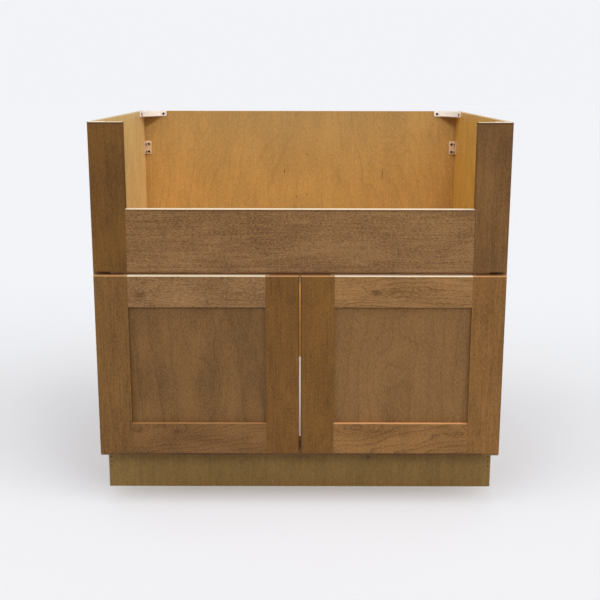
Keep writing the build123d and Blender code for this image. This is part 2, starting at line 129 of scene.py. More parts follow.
class Wiring:
    """A node tree being wired, with one short method for each kind of node used here."""

    def __init__(self, tree: bpy.types.NodeTree) -> None:
        """Starts on a tree."""
        self.tree = tree

    def node(self, kind: str, **settings: object) -> bpy.types.Node:
        """Adds a node.

        Args:
            kind: The node's type name.
            settings: Properties to set on it.

        Returns:
            The new node.
        """
        made = self.tree.nodes.new(kind)
        for name, value in settings.items():
            setattr(made, name, value)
        return made

    def feed(self, socket: bpy.types.NodeSocket, value: object) -> None:
        """Gives an input its value: a link if it comes from a socket, else a plain number.

        Args:
            socket: The input.
            value: Another node's output, a number, a colour or a vector.
        """
        if isinstance(value, bpy.types.NodeSocket):
            self.tree.links.new(value, socket)
        elif isinstance(value, tuple) and len(value) == 3 and socket.type == "RGBA":
            socket.default_value = (*value, 1.0)
        else:
            socket.default_value = value

    def math(self, operation: str, *values: object, clamp: bool = False) -> bpy.types.NodeSocket:
        """Works a number out of others.

        Args:
            operation: The Math node's operation.
            values: Its inputs.
            clamp: Whether the result is kept between 0 and 1.

        Returns:
            The result.
        """
        made = self.node("ShaderNodeMath", operation=operation, use_clamp=clamp)
        for index, value in enumerate(values):
            self.feed(made.inputs[index], value)
        return made.outputs[0]

    def vector(self, operation: str, *values: object) -> bpy.types.NodeSocket:
        """Works a vector out of others.

        Args:
            operation: The Vector Math node's operation.
            values: Its inputs.

        Returns:
            The vector.
        """
        made = self.node("ShaderNodeVectorMath", operation=operation)
        for index, value in enumerate(values):
            self.feed(made.inputs[index], value)
        return made.outputs[0]

    def length(self, vector: object) -> bpy.types.NodeSocket:
        """The length of a vector.

        Args:
            vector: The vector.

        Returns:
            Its length.
        """
        made = self.node("ShaderNodeVectorMath", operation="LENGTH")
        self.feed(made.inputs[0], vector)
        return made.outputs["Value"]

    def split(self, vector: bpy.types.NodeSocket) -> bpy.types.NodeOutputs:
        """The X, Y and Z of a vector.

        Args:
            vector: The vector.

        Returns:
            The three numbers, by the names X, Y and Z.
        """
        made = self.node("ShaderNodeSeparateXYZ")
        self.feed(made.inputs[0], vector)
        return made.outputs

    def join(self, x: object, y: object, z: object) -> bpy.types.NodeSocket:
        """A vector made of three numbers.

        Args:
            x: Its X.
            y: Its Y.
            z: Its Z.

        Returns:
            The vector.
        """
        made = self.node("ShaderNodeCombineXYZ")
        for index, value in enumerate((x, y, z)):
            self.feed(made.inputs[index], value)
        return made.outputs[0]

    def noise(
        self, vector: object, scale: float, detail: float, roughness: float = 0.5
    ) -> bpy.types.NodeSocket:
        """A noise pattern.

        Args:
            vector: Where it is read.
            scale: Its size, in features per metre.
            detail: How many finer layers it has.
            roughness: How strong the finer layers are.

        Returns:
            The pattern's value, about 0.5 in the middle.
        """
        made = self.node("ShaderNodeTexNoise")
        self.feed(made.inputs["Vector"], vector)
        self.feed(made.inputs["Scale"], scale)
        self.feed(made.inputs["Detail"], detail)
        self.feed(made.inputs["Roughness"], roughness)
        return made.outputs[0]

    def span(
        self, value: object, low: object, high: object, to_low: float = 0.0, to_high: float = 1.0
    ) -> bpy.types.NodeSocket:
        """Stretches a range of numbers onto another, smoothly at both ends.

        Args:
            value: The number.
            low: What becomes to_low, as does all below it.
            high: What becomes to_high, as does all above it.
            to_low: The result's low end.
            to_high: The result's high end.

        Returns:
            The result.
        """
        made = self.node("ShaderNodeMapRange", interpolation_type="SMOOTHSTEP")
        for index, number in enumerate((value, low, high, to_low, to_high)):
            self.feed(made.inputs[index], number)
        return made.outputs[0]

    def mix(
        self, share: object, first: object, second: object, blend: str = "MIX"
    ) -> bpy.types.NodeSocket:
        """Mixes two colours.

        Args:
            share: How much of the second there is.
            first: The colour at share 0.
            second: The colour at share 1.
            blend: The Mix node's blend type.

        Returns:
            The colour.
        """
        made = self.node("ShaderNodeMix", data_type="RGBA", blend_type=blend)
        self.feed(made.inputs["Factor"], share)
        self.feed(made.inputs[MIX_FIRST], first)
        self.feed(made.inputs[MIX_SECOND], second)
        return made.outputs[MIX_RESULT]


def new_group(
    name: str, inputs: dict[str, tuple[str, object]], outputs: dict[str, str]
) -> tuple[bpy.types.NodeTree, Wiring, bpy.types.NodeOutputs, bpy.types.NodeInputs]:
    """Starts a shader node group with named inputs and outputs.

    Args:
        name: The group's name.
        inputs: For each input's name, its kind of socket and its first value.
        outputs: For each output's name, its kind of socket.

    Returns:
        The group, a wiring for it, its inputs as sockets to read and its outputs as sockets to feed.
    """
    tree = bpy.data.node_groups.new(name, "ShaderNodeTree")
    for label, (kind, value) in inputs.items():
        socket = tree.interface.new_socket(label, in_out="INPUT", socket_type=kind)
        if value is not None:
            socket.default_value = value
    for label, kind in outputs.items():
        tree.interface.new_socket(label, in_out="OUTPUT", socket_type=kind)
    wiring = Wiring(tree)
    entry = wiring.node("NodeGroupInput")
    leave = wiring.node("NodeGroupOutput")
    return tree, wiring, entry.outputs, leave.inputs


FLOAT, COLOR, VECTOR = "NodeSocketFloat", "NodeSocketColor", "NodeSocketVector"
WHITE = (1.0, 1.0, 1.0, 1.0)


@dataclass(frozen=True)
class Layer:
    """One layer of noise in the wood."""

    spread: tuple[float, float, float]  # features per metre along X, Y and Z
    detail: float  # how many finer layers it has
    roughness: float  # how strong those are
    strength: float  # how much of it shows, or how far it pushes the rings

    def read(self, w: Wiring, place: object) -> bpy.types.NodeSocket:
        """Its value at a place, 0 in the middle of its range."""
        spread = w.vector("MULTIPLY", place, self.spread)
        return w.math("SUBTRACT", w.noise(spread, 1.0, self.detail, self.roughness), 0.5)


@dataclass(frozen=True)
class WoodFigure:
    """The figure of a flat-sawn board: arches, fibres, flecks and cloudy stain, along its Z."""

    board_step: tuple[float, float, float] = (1.7, 0.9, 2.3)  # between two boards in the noise
    heart_depth: float = 0.10  # from the board to the tree's heart
    heart_tilt: float = 0.09  # how fast the board comes nearer to the heart, along the grain
    heart_swing: float = 0.06  # how far off centre the heart lies at most
    swing_turn: float = 7.0  # how fast that changes from board to board
    sway: Layer = Layer((7.0, 7.0, 2.45), 3.0, 0.55, 0.075)
    bend: Layer = Layer((26.0, 26.0, 13.0), 2.0, 0.5, 0.012)
    late_wood: float = 6.0  # how sharply a ring darkens toward its outer edge
    ring_mean: float = 0.15  # what the rings' darkness is about
    cloud: Layer = Layer((17.0, 17.0, 7.0), 4.0, 0.55, 2.4)
    fibre: Layer = Layer((280.0, 280.0, 13.0), 3.0, 0.6, 2.0)
    hair: Layer = Layer((900.0, 900.0, 16.0), 2.0, 0.6, 1.5)
    fleck: Layer = Layer((660.0, 660.0, 190.0), 2.0, 0.6, 5.2)
    pore: Layer = Layer((1100.0, 1100.0, 60.0), 2.0, 0.5, -0.6)
    pore_reach: tuple[float, float] = (0.10, 0.24)  # the noise between which a pore begins
    knot_stretch: float = 0.55  # how much longer a knot's arches are along the grain
    knot_push: float = 1.6  # how far a knot pushes the rings, times its size
    knot_heart: tuple[float, float] = (0.12, 0.55)  # where its dark heart ends, in its sizes
    knot_dark: float = 0.55
    knot_strength: float = -0.8

    def make(self) -> bpy.types.NodeTree:
        """Builds the group.

        Returns:
            The group. It takes a place with Z along the grain and gives a colour and a height.
        """
        tree, w, entry, leave = new_group(
            "wood_figure",
            {
                "Place": (VECTOR, None),
                "Light": (COLOR, WHITE),
                "Dark": (COLOR, WHITE),
                "Board": (FLOAT, 0.0),
                "Rings": (FLOAT, 0.2),
                "Ring Count": (FLOAT, 95.0),  # per metre
                "Fibre": (FLOAT, 0.2),
                "Fleck": (FLOAT, 0.3),
                "Cloud": (FLOAT, 0.5),
                "Knot A": (VECTOR, (NOWHERE, 0.02, NOWHERE)),
                "Knot B": (VECTOR, (NOWHERE, 0.02, NOWHERE)),
                "Knot Dark": (FLOAT, 1.0),
            },
            {"Color": COLOR, "Height": FLOAT, "Shade": FLOAT},
        )
        board = w.join(entry["Board"], entry["Board"], entry["Board"])
        place = w.vector("ADD", entry["Place"], w.vector("MULTIPLY", board, self.board_step))
        axes = w.split(entry["Place"])
        radius = self.from_heart(w, entry["Board"], axes, place)
        spot: object = 0.0
        for name in ("Knot A", "Knot B"):
            swell, core = self.knot(w, axes, entry[name])
            radius = w.math("ADD", radius, swell)
            spot = w.math("ADD", spot, core)
        turn = w.math("FRACT", w.math("MULTIPLY", radius, entry["Ring Count"]))
        ring_line = w.math("POWER", turn, self.late_wood)
        fibre = self.fibre.read(w, place)
        pore = w.span(self.pore.read(w, place), *self.pore_reach)
        shade: object = 0.5
        for pattern, strength in (
            (self.cloud.read(w, place), w.math("MULTIPLY", entry["Cloud"], self.cloud.strength)),
            (fibre, w.math("MULTIPLY", entry["Fibre"], self.fibre.strength)),
            (self.hair.read(w, place), w.math("MULTIPLY", entry["Fibre"], self.hair.strength)),
            (self.fleck.read(w, place), w.math("MULTIPLY", entry["Fleck"], self.fleck.strength)),
            (w.math("SUBTRACT", self.ring_mean, ring_line), entry["Rings"]),
            (w.math("MULTIPLY", pore, entry["Fibre"]), self.pore.strength),
            (spot, w.math("MULTIPLY", entry["Knot Dark"], self.knot_strength)),
        ):
            shade = w.math("MULTIPLY_ADD", pattern, strength, shade)
        shade = w.math("ADD", shade, 0.0, clamp=True)
        w.feed(leave["Color"], w.mix(shade, entry["Dark"], entry["Light"]))
        w.feed(leave["Shade"], shade)
        w.feed(leave["Height"], w.math("MULTIPLY_ADD", pore, self.pore.strength, fibre))
        return tree

    def from_heart(
        self,
        w: Wiring,
        board: bpy.types.NodeSocket,
        axes: bpy.types.NodeOutputs,
        place: bpy.types.NodeSocket,
    ) -> bpy.types.NodeSocket:
        """Finds how far from the tree's heart each place of the board grew.

        Args:
            w: The group's wiring.
            board: The number that picks the board.
            axes: The place on the board.
            place: The board's own place in the noise.

        Returns:
            The distance, which sways and bends as the rings do.
        """
        swing = w.math("SINE", w.math("MULTIPLY", board, self.swing_turn))
        swing = w.math("MULTIPLY", swing, self.heart_swing)
        depth = w.math("MULTIPLY_ADD", axes["Z"], self.heart_tilt, self.heart_depth)
        depth = w.math("ADD", w.math("ADD", depth, axes["Y"]), swing)
        radius = w.length(w.join(w.math("ADD", axes["X"], swing), depth, 0.0))
        for layer in (self.sway, self.bend):
            radius = w.math("MULTIPLY_ADD", layer.read(w, place), layer.strength, radius)
        return radius

    def knot(
        self, w: Wiring, axes: bpy.types.NodeOutputs, knot: bpy.types.NodeSocket
    ) -> tuple[bpy.types.NodeSocket, bpy.types.NodeSocket]:
        """Makes the rings flow round a knot.

        Args:
            w: The group's wiring.
            axes: The place across and along the grain, as X and Z.
            knot: The knot's place across, its size, and its place along the grain.

        Returns:
            How far it pushes the rings, and how dark its heart makes the board.
        """
        at = w.split(knot)
        across = w.math("SUBTRACT", axes["X"], at["X"])
        along = w.math("MULTIPLY", w.math("SUBTRACT", axes["Z"], at["Z"]), self.knot_stretch)
        far = w.math("DIVIDE", w.length(w.join(across, along, 0.0)), at["Y"])
        swell = w.math("EXPONENT", w.math("MULTIPLY", w.math("MULTIPLY", far, far), -1.0))
        heart = w.span(far, *self.knot_heart, self.knot_dark, 0.0)
        return w.math("MULTIPLY", w.math("MULTIPLY", swell, at["Y"]), self.knot_push), heart


@dataclass(frozen=True)
class PlyEdge:
    """The stripes of veneer that a sawn plywood edge shows."""

    plies: int = 9
    ripple_scale: float = 60.0  # features per metre, as all the scales here
    ripple: float = 0.02  # how far the layers waver, as a share of the sheet
    grit_scale: float = 900.0
    grit_reach: tuple[float, float] = (0.35, 0.65)  # the noise between which grit begins
    grit_share: float = 0.35
    grit_color: Color = (0.30, 0.18, 0.09)
    glue_share: float = 0.55
    glue_width: float = 0.09  # as a share of a ply
    glue_color: Color = (0.12, 0.06, 0.03)
    end_sink: float = -0.4  # how far the end grain lies below the long grain

    def make(self) -> bpy.types.NodeTree:
        """Builds the group.

        Returns:
            The group. It takes the depth through the sheet, 0 to 1, and gives the edge's colour.
        """
        tree, w, entry, leave = new_group(
            "ply_edge",
            {
                "Place": (VECTOR, None),
                "Depth": (FLOAT, 0.0),
                "Long Ply": (COLOR, WHITE),
                "End Ply": (COLOR, WHITE),
            },
            {"Color": COLOR, "Height": FLOAT},
        )
        ripple = w.math("SUBTRACT", w.noise(entry["Place"], self.ripple_scale, 3.0), 0.5)
        depth = w.math("MULTIPLY_ADD", ripple, self.ripple, entry["Depth"])
        layer = w.math("MULTIPLY", depth, float(self.plies))
        is_end = w.math("MODULO", w.math("FLOOR", layer), 2.0)
        glue = w.math("PINGPONG", layer, 0.5)
        grit = w.noise(entry["Place"], self.grit_scale, 4.0, 0.6)
        plain = w.mix(is_end, entry["Long Ply"], entry["End Ply"])
        dust = w.span(grit, *self.grit_reach, 0.0, self.grit_share)
        gritty = w.mix(dust, plain, self.grit_color)
        glued = w.span(glue, 0.0, self.glue_width, self.glue_share, 0.0)
        w.feed(leave["Color"], w.mix(glued, gritty, self.glue_color))
        w.feed(leave["Height"], w.math("MULTIPLY_ADD", is_end, self.end_sink, grit))
        return tree


@dataclass(frozen=True)
class FineGrit:
    """A fine unevenness of colour and surface, for plastic, rubber and plated steel."""

    scale: float = 700.0
    patch_size: float = 12.0  # how much larger the patches are than the grit

    def make(self) -> bpy.types.NodeTree:
        """Builds the group.

        Returns:
            The group. It takes a place and a colour and gives the uneven colour and a height.
        """
        tree, w, entry, leave = new_group(
            "fine_grit",
            {"Place": (VECTOR, None), "Tint": (COLOR, WHITE), "Amount": (FLOAT, 0.1)},
            {"Color": COLOR, "Height": FLOAT, "Mask": FLOAT},
        )
        grit = w.noise(entry["Place"], self.scale, 4.0, 0.6)
        patch = w.noise(entry["Place"], self.scale / self.patch_size, 2.0)
        uneven = w.math("ADD", w.math("MULTIPLY", grit, 0.5), w.math("MULTIPLY", patch, 0.5))
        level = w.math("MULTIPLY_ADD", w.math("SUBTRACT", uneven, 0.5), entry["Amount"], 1.0)
        w.feed(leave["Color"], w.vector("MULTIPLY", entry["Tint"], w.join(level, level, level)))
        w.feed(leave["Height"], grit)
        w.feed(leave["Mask"], patch)
        return tree


class Patterns:
    """The node groups that several finishes share, each built once."""

    def __init__(self) -> None:
        """Builds them."""
        self.figure = WoodFigure().make()
        self.ply = PlyEdge().make()
        self.grit = FineGrit().make()

    @staticmethod
    def use(w: Wiring, group: bpy.types.NodeTree, **values: object) -> bpy.types.NodeOutputs:
        """Puts a group into a material.

        Args:
            w: The material's wiring.
            group: The group.
            values: Its inputs by name, with underscores for spaces.

        Returns:
            The group's outputs.
        """
        made = w.node("ShaderNodeGroup", node_tree=group)
        for name, value in values.items():
            w.feed(made.inputs[name.replace("_", " ")], value)
        return made.outputs


# ---------------------------------------------------------------------------------------------
# Finishes
# ---------------------------------------------------------------------------------------------
# Pale tops: raw unstained wood, partly a painted highlight on faces that look up.
RAW_AND_LIT_WOOD = srgb(255, 246, 226)
RAW_AND_LIT_WOOD_DARK = srgb(240, 214, 172)
# Tan tops: raw end grain on the door stiles, painted highlight on the bottom rails' inner top faces.
TAN_RAW_AND_LIT_WOOD = srgb(232, 178, 124)
TAN_RAW_AND_LIT_WOOD_DARK = srgb(206, 146, 92)
LONG_PLY = srgb(242, 224, 192)
END_PLY = srgb(218, 188, 146)

# Between these values of a pattern the gloss changes from one end of its range to the other.
SHADE_REACH = (0.2, 0.8)
PATCH_REACH = (0.3, 0.7)


def start_material(name: str) -> tuple[bpy.types.Material, Wiring, bpy.types.Node]:
    """Starts a material.

    Args:
        name: Its name.

    Returns:
        The material, its wiring and its main shader.
    """
    material = bpy.data.materials.new(name)
    material.use_nodes = True
    shader = next(n for n in material.node_tree.nodes if n.type == "BSDF_PRINCIPLED")
    return material, Wiring(material.node_tree), shader


def bump(w: Wiring, shader: bpy.types.Node, height: object, strength: float, depth: float) -> None:
    """Gives a shader a bumpy surface.

    Args:
        w: The material's wiring.
        shader: The shader.
        height: The bumps.
        strength: How much of them shows.
        depth: Their depth in metres.
    """
    made = w.node("ShaderNodeBump")
    w.feed(made.inputs["Strength"], strength)
    w.feed(made.inputs["Distance"], depth)
    w.feed(made.inputs["Height"], height)
    w.feed(shader.inputs["Normal"], made.outputs[0])


def uneven(
    w: Wiring,
    pattern: object,
    reach: tuple[float, float],
    level: float,
    change: tuple[float, float],
) -> bpy.types.NodeSocket:
    """A level that follows a pattern, such as a roughness that differs from place to place.

    Args:
        w: The material's wiring.
        pattern: The pattern.
        reach: The pattern's values between which the level changes.
        level: The level in the middle.
        change: What is added to it at either end.

    Returns:
        The uneven level.
    """
    return w.span(pattern, *reach, level + change[0], level + change[1])


def knots_of(places: tuple[Spot, ...]) -> dict[str, Spot]:
    """The inputs of the wood's figure that place up to two knots.

    Args:
        places: The knots.

    Returns:
        The inputs by name.
    """
    return {f"Knot_{letter}": place for letter, place in zip("AB", places)}


def along_grain(w: Wiring, place: object, grain: Grain, is_flat: bool = False) -> object:
    """Turns a place so that Z runs along the grain and X across the board's face.

    Args:
        w: The material's wiring.
        place: The place on the piece.
        grain: Which way the grain runs.
        is_flat: Whether the board's face stands along Y, as a side panel's does.

    Returns:
        The turned place.
    """
    axes = w.split(place)
    if grain is Grain.ACROSS:
        return w.join(axes["Z"], axes["Y"], axes["X"])
    if is_flat:
        return w.join(axes["Y"], axes["X"], axes["Z"])
    return place


@dataclass(frozen=True)
class StainedWood:
    """A hardwood board, wiped with brown stain and varnished satin.

    Faces that look up can be pale, partly as raw unstained wood and partly as painted highlight, and
    a board glued up from strips changes tone at the seams between them.
    """

    name: str
    color: Color
    grain: Grain
    board: float  # picks the board's own figure
    contrast: float = 0.32
    dark_depth: tuple[float, float, float] = (1.0, 1.12, 1.25)  # the contrast per channel
    rings: float = 0.20
    ring_count: float = 60.0
    fibre: float = 0.22
    fleck: float = 0.35
    cloud: float = 0.50
    pale_top: float = 0.0  # how pale the faces that look up are: raw wood, partly painted highlight
    top_light: Color = RAW_AND_LIT_WOOD
    top_dark: Color = RAW_AND_LIT_WOOD_DARK
    top_stretch: tuple[float, float, float] = (1.0, 3.0, 1.0)
    top_slope: tuple[float, float] = (0.6, 0.95)  # how far up a face looks where it turns pale
    highlight_edge: float = NOWHERE  # height of the top corner painted as pale as the top: a painted highlight line
    highlight_reach: tuple[float, float] = (2.2 * MM, 0.6 * MM)  # below that corner
    dark_edge: float = NOWHERE  # height of the edge below which the board is darker
    dark_reach: tuple[float, float] = (7.0 * MM, 1.0 * MM)  # below that edge
    dark_share: float = 0.8  # how dark that edge gets, against an upright one
    shaded_side: float = NOWHERE  # X of the upright edge along which the board gets painted shade
    side_reach: tuple[float, float] = (1.0 * MM, 2.6 * MM)
    gathered_tone: Color = (0.52, 0.44, 0.34)  # times this along that darker band and that painted shade
    seams: tuple[float, ...] = ()  # where strips meet, across the grain
    seam_half: float = 0.5 * MM
    seam_share: float = 0.35
    seam_color: Color = (0.06, 0.03, 0.012)
    strip_tone: float = 0.05  # how much darker every other strip is
    strip_warmth: float = 0.97  # times the blue of each strip
    knots: tuple[Spot, ...] = ()
    knot_dark: float = 1.0
    roughness: float = 0.46
    gloss_change: tuple[float, float] = (0.06, -0.05)  # of the roughness, from dark to light
    specular: float = 0.2
    bump_share: float = 0.22
    bump_depth: float = 0.4 * MM

    def make(self, patterns: Patterns) -> bpy.types.Material:
        """Builds the material.

        Args:
            patterns: The shared node groups.

        Returns:
            The material.
        """
        material, w, shader = start_material(self.name)
        read = w.node("ShaderNodeTexCoord")
        place = along_grain(w, read.outputs["Object"], self.grain)
        figure = Patterns.use(
            w,
            patterns.figure,
            Place=place,
            Light=toned(self.color, 1 + self.contrast),
            Dark=toned(self.color, *(1 - self.contrast * deep for deep in self.dark_depth)),
            Board=self.board,
            Rings=self.rings,
            Ring_Count=self.ring_count,
            Fibre=self.fibre,
            Fleck=self.fleck,
            Cloud=self.cloud,
            Knot_Dark=self.knot_dark,
            **knots_of(self.knots),
        )
        color = figure["Color"]
        # A darker band below the top edge, and painted shade along an upright edge.
        if min(self.dark_edge, self.shaded_side) < NOWHERE:
            color = self.gathered(w, w.split(read.outputs["Object"]), color)
        if self.seams:
            color = self.strips(w, w.split(place)["X"], color)
        if self.pale_top:
            color = self.bare_top(w, read, patterns, color)
        roughness = uneven(w, figure["Shade"], SHADE_REACH, self.roughness, self.gloss_change)
        w.feed(shader.inputs["Base Color"], color)
        w.feed(shader.inputs["Roughness"], roughness)
        w.feed(shader.inputs["Specular IOR Level"], self.specular)
        bump(w, shader, figure["Height"], self.bump_share, self.bump_depth)
        return material

    def gathered(self, w: Wiring, axes: bpy.types.NodeOutputs, color: object) -> object:
        """Darkens the board below its top edge, and paints shade along an upright edge.

        Args:
            w: The material's wiring.
            axes: The place on the cabinet.
            color: The board's colour.

        Returns:
            The colour with its dark edges.
        """
        start, end = (self.dark_edge - reach for reach in self.dark_reach)
        under_top = w.span(axes["Z"], start, end, 0.0, self.dark_share)
        from_side = w.math("ABSOLUTE", w.math("SUBTRACT", axes["X"], self.shaded_side))
        share = w.math("MAXIMUM", under_top, w.span(from_side, *self.side_reach, 1.0, 0.0))
        return w.mix(share, color, w.mix(1.0, color, self.gathered_tone, "MULTIPLY"))

    def strips(self, w: Wiring, across: object, color: object) -> object:
        """Darkens every other strip of a glued-up board and draws the fine seams.

        Args:
            w: The material's wiring.
            across: The place across the grain.
            color: The board's colour.

        Returns:
            The colour with its strips.
        """
        for number, seam in enumerate(self.seams):
            beyond = w.math("GREATER_THAN", across, seam)
            tone = 1 - self.strip_tone if number % 2 == 0 else 1 + self.strip_tone
            strip = (tone, tone, tone * self.strip_warmth)
            color = w.mix(beyond, color, w.mix(1.0, color, strip, "MULTIPLY"))
            line = w.math("COMPARE", across, seam, self.seam_half)
            color = w.mix(w.math("MULTIPLY", line, self.seam_share), color, self.seam_color)
        return color

    def bare_top(
        self, w: Wiring, read: bpy.types.Node, patterns: Patterns, color: object
    ) -> object:
        """Makes the faces that look up pale, partly raw wood and partly painted highlight, and paints
        a highlight line below the top corner.

        Args:
            w: The material's wiring.
            read: The material's Texture Coordinate node.
            patterns: The shared node groups.
            color: The stained colour.

        Returns:
            The colour with its pale top and its painted highlight line.
        """
        # Faces that look up turn pale: raw wood, partly painted highlight.
        bare = w.span(w.split(read.outputs["Normal"])["Z"], *self.top_slope)
        # Painted highlight: a thin band of the front face below the top corner is as pale as the top.
        if self.highlight_edge < NOWHERE:
            height = w.split(read.outputs["Object"])["Z"]
            start, end = (self.highlight_edge - reach for reach in self.highlight_reach)
            bare = w.math("MAXIMUM", bare, w.span(height, start, end))
        raw = Patterns.use(
            w,
            patterns.figure,
            Place=w.vector("MULTIPLY", read.outputs["Object"], self.top_stretch),
            Light=self.top_light,
            Dark=self.top_dark,
            Board=self.board,
            Rings=0.15,
            Fibre=0.3,
            Fleck=0.35,
            Cloud=0.2,
        )
        return w.mix(w.math("MULTIPLY", bare, self.pale_top), color, raw["Color"])


@dataclass(frozen=True)
class VarnishedPly:
    """A plywood panel: clear varnish inside, its own finish outside, and bare ply edges."""

    name: str
    inside: Color
    outside: Color
    thickness_axis: str  # "X" for the sides, "Y" for the back, "Z" for the floor
    outer_face: float  # where the outer face lies along that axis
    thickness: float
    board: float
    contrast: float = 0.20
    low_painted_light: Color = (1.0, 1.0, 1.0)  # times this at the foot of the fade: painted light that makes the lower part lighter
    fade: tuple[float, float] = (0.0, 1.0)  # the heights between which that painted light fades out
    swirls: tuple[Spot, ...] = ()
    marks: tuple[Mark, ...] = ()
    mark_color: Color = srgb(104, 58, 24)
    mark_share: float = 0.75
    mark_core: float = 0.3  # how far out a mark stays dark, as a share of its size
    outer_skin: float = 0.03  # how deep the outer finish reaches, as a share of the sheet
    roughness: float = 0.42
    gloss_change: tuple[float, float] = (0.05, -0.04)  # of the roughness, from dark to light
    edge_roughness: float = 0.35  # what a sawn edge adds to it
    specular: float = 0.3
    bump_share: float = 0.15
    bump_depth: float = 0.3 * MM

    def make(self, patterns: Patterns) -> bpy.types.Material:
        """Builds the material.

        Args:
            patterns: The shared node groups.

        Returns:
            The material.
        """
        material, w, shader = start_material(self.name)
        read = w.node("ShaderNodeTexCoord")
        place = read.outputs["Object"]
        grain = Grain.ACROSS if self.thickness_axis == "Z" else Grain.UPRIGHT
        turned = along_grain(w, place, grain, is_flat=self.thickness_axis == "X")
        from_outside = w.math("SUBTRACT", w.split(place)[self.thickness_axis], self.outer_face)
        depth = w.math("DIVIDE", w.math("ABSOLUTE", from_outside), self.thickness)
        is_outside = w.math("LESS_THAN", depth, self.outer_skin)
        light, dark = (
            w.mix(is_outside, toned(self.inside, factor), toned(self.outside, factor))
            for factor in (1 + self.contrast, 1 - self.contrast)
        )
        face = Patterns.use(
            w,
            patterns.figure,
            Place=turned,
            Light=light,
            Dark=dark,
            Board=self.board,
            Rings=0.34,
            Ring_Count=70.0,
            Fibre=0.26,
            Fleck=0.48,
            Cloud=0.56,
            Knot_Dark=0.0,
            **knots_of(self.swirls),
        )
        edge = Patterns.use(
            w, patterns.ply, Place=place, Depth=depth, Long_Ply=LONG_PLY, End_Ply=END_PLY
        )
        # Painted light: below the fade the face is lighter and warmer.
        foot = w.span(w.split(place)["Z"], *self.fade, 1.0, 0.0)
        brightened = w.mix(1.0, face["Color"], self.low_painted_light, "MULTIPLY")
        face_color = w.mix(foot, face["Color"], brightened)
        if self.marks:
            face_color = self.marked(w, turned, w.math("GREATER_THAN", depth, 0.5), face_color)
        facing = w.math("ABSOLUTE", w.split(read.outputs["Normal"])[self.thickness_axis])
        is_edge = w.math("LESS_THAN", facing, 0.5)
        varnish = uneven(w, face["Shade"], SHADE_REACH, self.roughness, self.gloss_change)
        roughness = w.math("MULTIPLY_ADD", is_edge, self.edge_roughness, varnish)
        height = w.math("MULTIPLY_ADD", is_edge, edge["Height"], face["Height"])
        w.feed(shader.inputs["Base Color"], w.mix(is_edge, face_color, edge["Color"]))
        w.feed(shader.inputs["Roughness"], roughness)
        w.feed(shader.inputs["Specular IOR Level"], self.specular)
        bump(w, shader, height, self.bump_share, self.bump_depth)
        return material

    def marked(self, w: Wiring, place: object, is_inside: object, color: object) -> object:
        """Puts the few dark flecks on the inner veneer.

        Args:
            w: The material's wiring.
            place: The place, X across the face and Z up it.
            is_inside: 1 on the inner face, else 0.
            color: The veneer's colour.

        Returns:
            The colour with its marks.
        """
        axes = w.split(place)
        mark: object = 0.0
        for across, up, half_width, half_height in self.marks:
            off_x = w.math("DIVIDE", w.math("SUBTRACT", axes["X"], across), half_width)
            off_z = w.math("DIVIDE", w.math("SUBTRACT", axes["Z"], up), half_height)
            far = w.length(w.join(off_x, off_z, 0.0))
            spot = w.span(far, self.mark_core, 1.0, self.mark_share, 0.0)
            mark = w.math("MAXIMUM", mark, spot)
        return w.mix(w.math("MULTIPLY", mark, is_inside), color, self.mark_color)


@dataclass(frozen=True)
class Moulded:
    """Moulded plastic or rubber, with a faint skin."""

    name: str
    color: Color
    roughness: float = 0.45
    gloss_change: tuple[float, float] = (-0.06, 0.06)
    amount: float = 0.16
    metallic: float = 0.0
    bump_share: float = 0.12
    bump_depth: float = 0.2 * MM

    def make(self, patterns: Patterns) -> bpy.types.Material:
        """Builds the material.

        Args:
            patterns: The shared node groups.

        Returns:
            The material.
        """
        material, w, shader = start_material(self.name)
        read = w.node("ShaderNodeTexCoord")
        grit = Patterns.use(
            w, patterns.grit, Place=read.outputs["Object"], Tint=self.color, Amount=self.amount
        )
        roughness = uneven(w, grit["Mask"], PATCH_REACH, self.roughness, self.gloss_change)
        w.feed(shader.inputs["Base Color"], grit["Color"])
        w.feed(shader.inputs["Metallic"], self.metallic)
        w.feed(shader.inputs["Roughness"], roughness)
        bump(w, shader, grit["Height"], self.bump_share, self.bump_depth)
        return material


@dataclass(frozen=True)
class PlatedSteel(Moulded):
    """Steel with a plated or blackened skin, which is made as a moulded one is."""

    roughness: float = 0.32
    gloss_change: tuple[float, float] = (-0.08, 0.10)
    amount: float = 0.25
    metallic: float = 1.0
    bump_share: float = 0.10
    bump_depth: float = 0.1 * MM


def dress(node: str, material: bpy.types.Material) -> None:
    """Gives a node of the frame its material and reports it.

    Args:
        node: The node's name.
        material: The material.
    """
    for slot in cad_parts[node].material_slots:
        slot.material = material
    LOG.info("%s: %s", node, material.name)


def finish_piece(
    piece: bpy.types.Object, body: str, material: bpy.types.Material, node: str
) -> None:
    """Gives a new piece its material and its body, and hides the node that it stands for.

    Args:
        piece: The piece.
        body: The body that it moves with.
        material: Its material.
        node: The node that it replaces.
    """
    piece.data.materials.clear()
    piece.data.materials.append(material)
    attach(piece, body)
    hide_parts(node)


# ---------------------------------------------------------------------------------------------
# Modelling by hand
# ---------------------------------------------------------------------------------------------
UP, DOWN = Vector((0, 0, 1)), Vector((0, 0, -1))
BACKWARD, FORWARD = Vector((0, 1, 0)), Vector((0, -1, 0))

SAME_WAY = 0.9  # normals whose dot product is above this look the same way
SAME_PLACE = 0.01 * MM
FLAT_ANGLE = math.radians(2)  # faces that meet flatter than this are one face
CORNER_ANGLE = math.radians(50)  # edges sharper than this get rounded
SMOOTH_ANGLE = math.radians(35)
HEAD_SMOOTH_ANGLE = math.radians(40)
SCREW_TURN = 37  # degrees from one screw's cross to the next, within a quarter turn


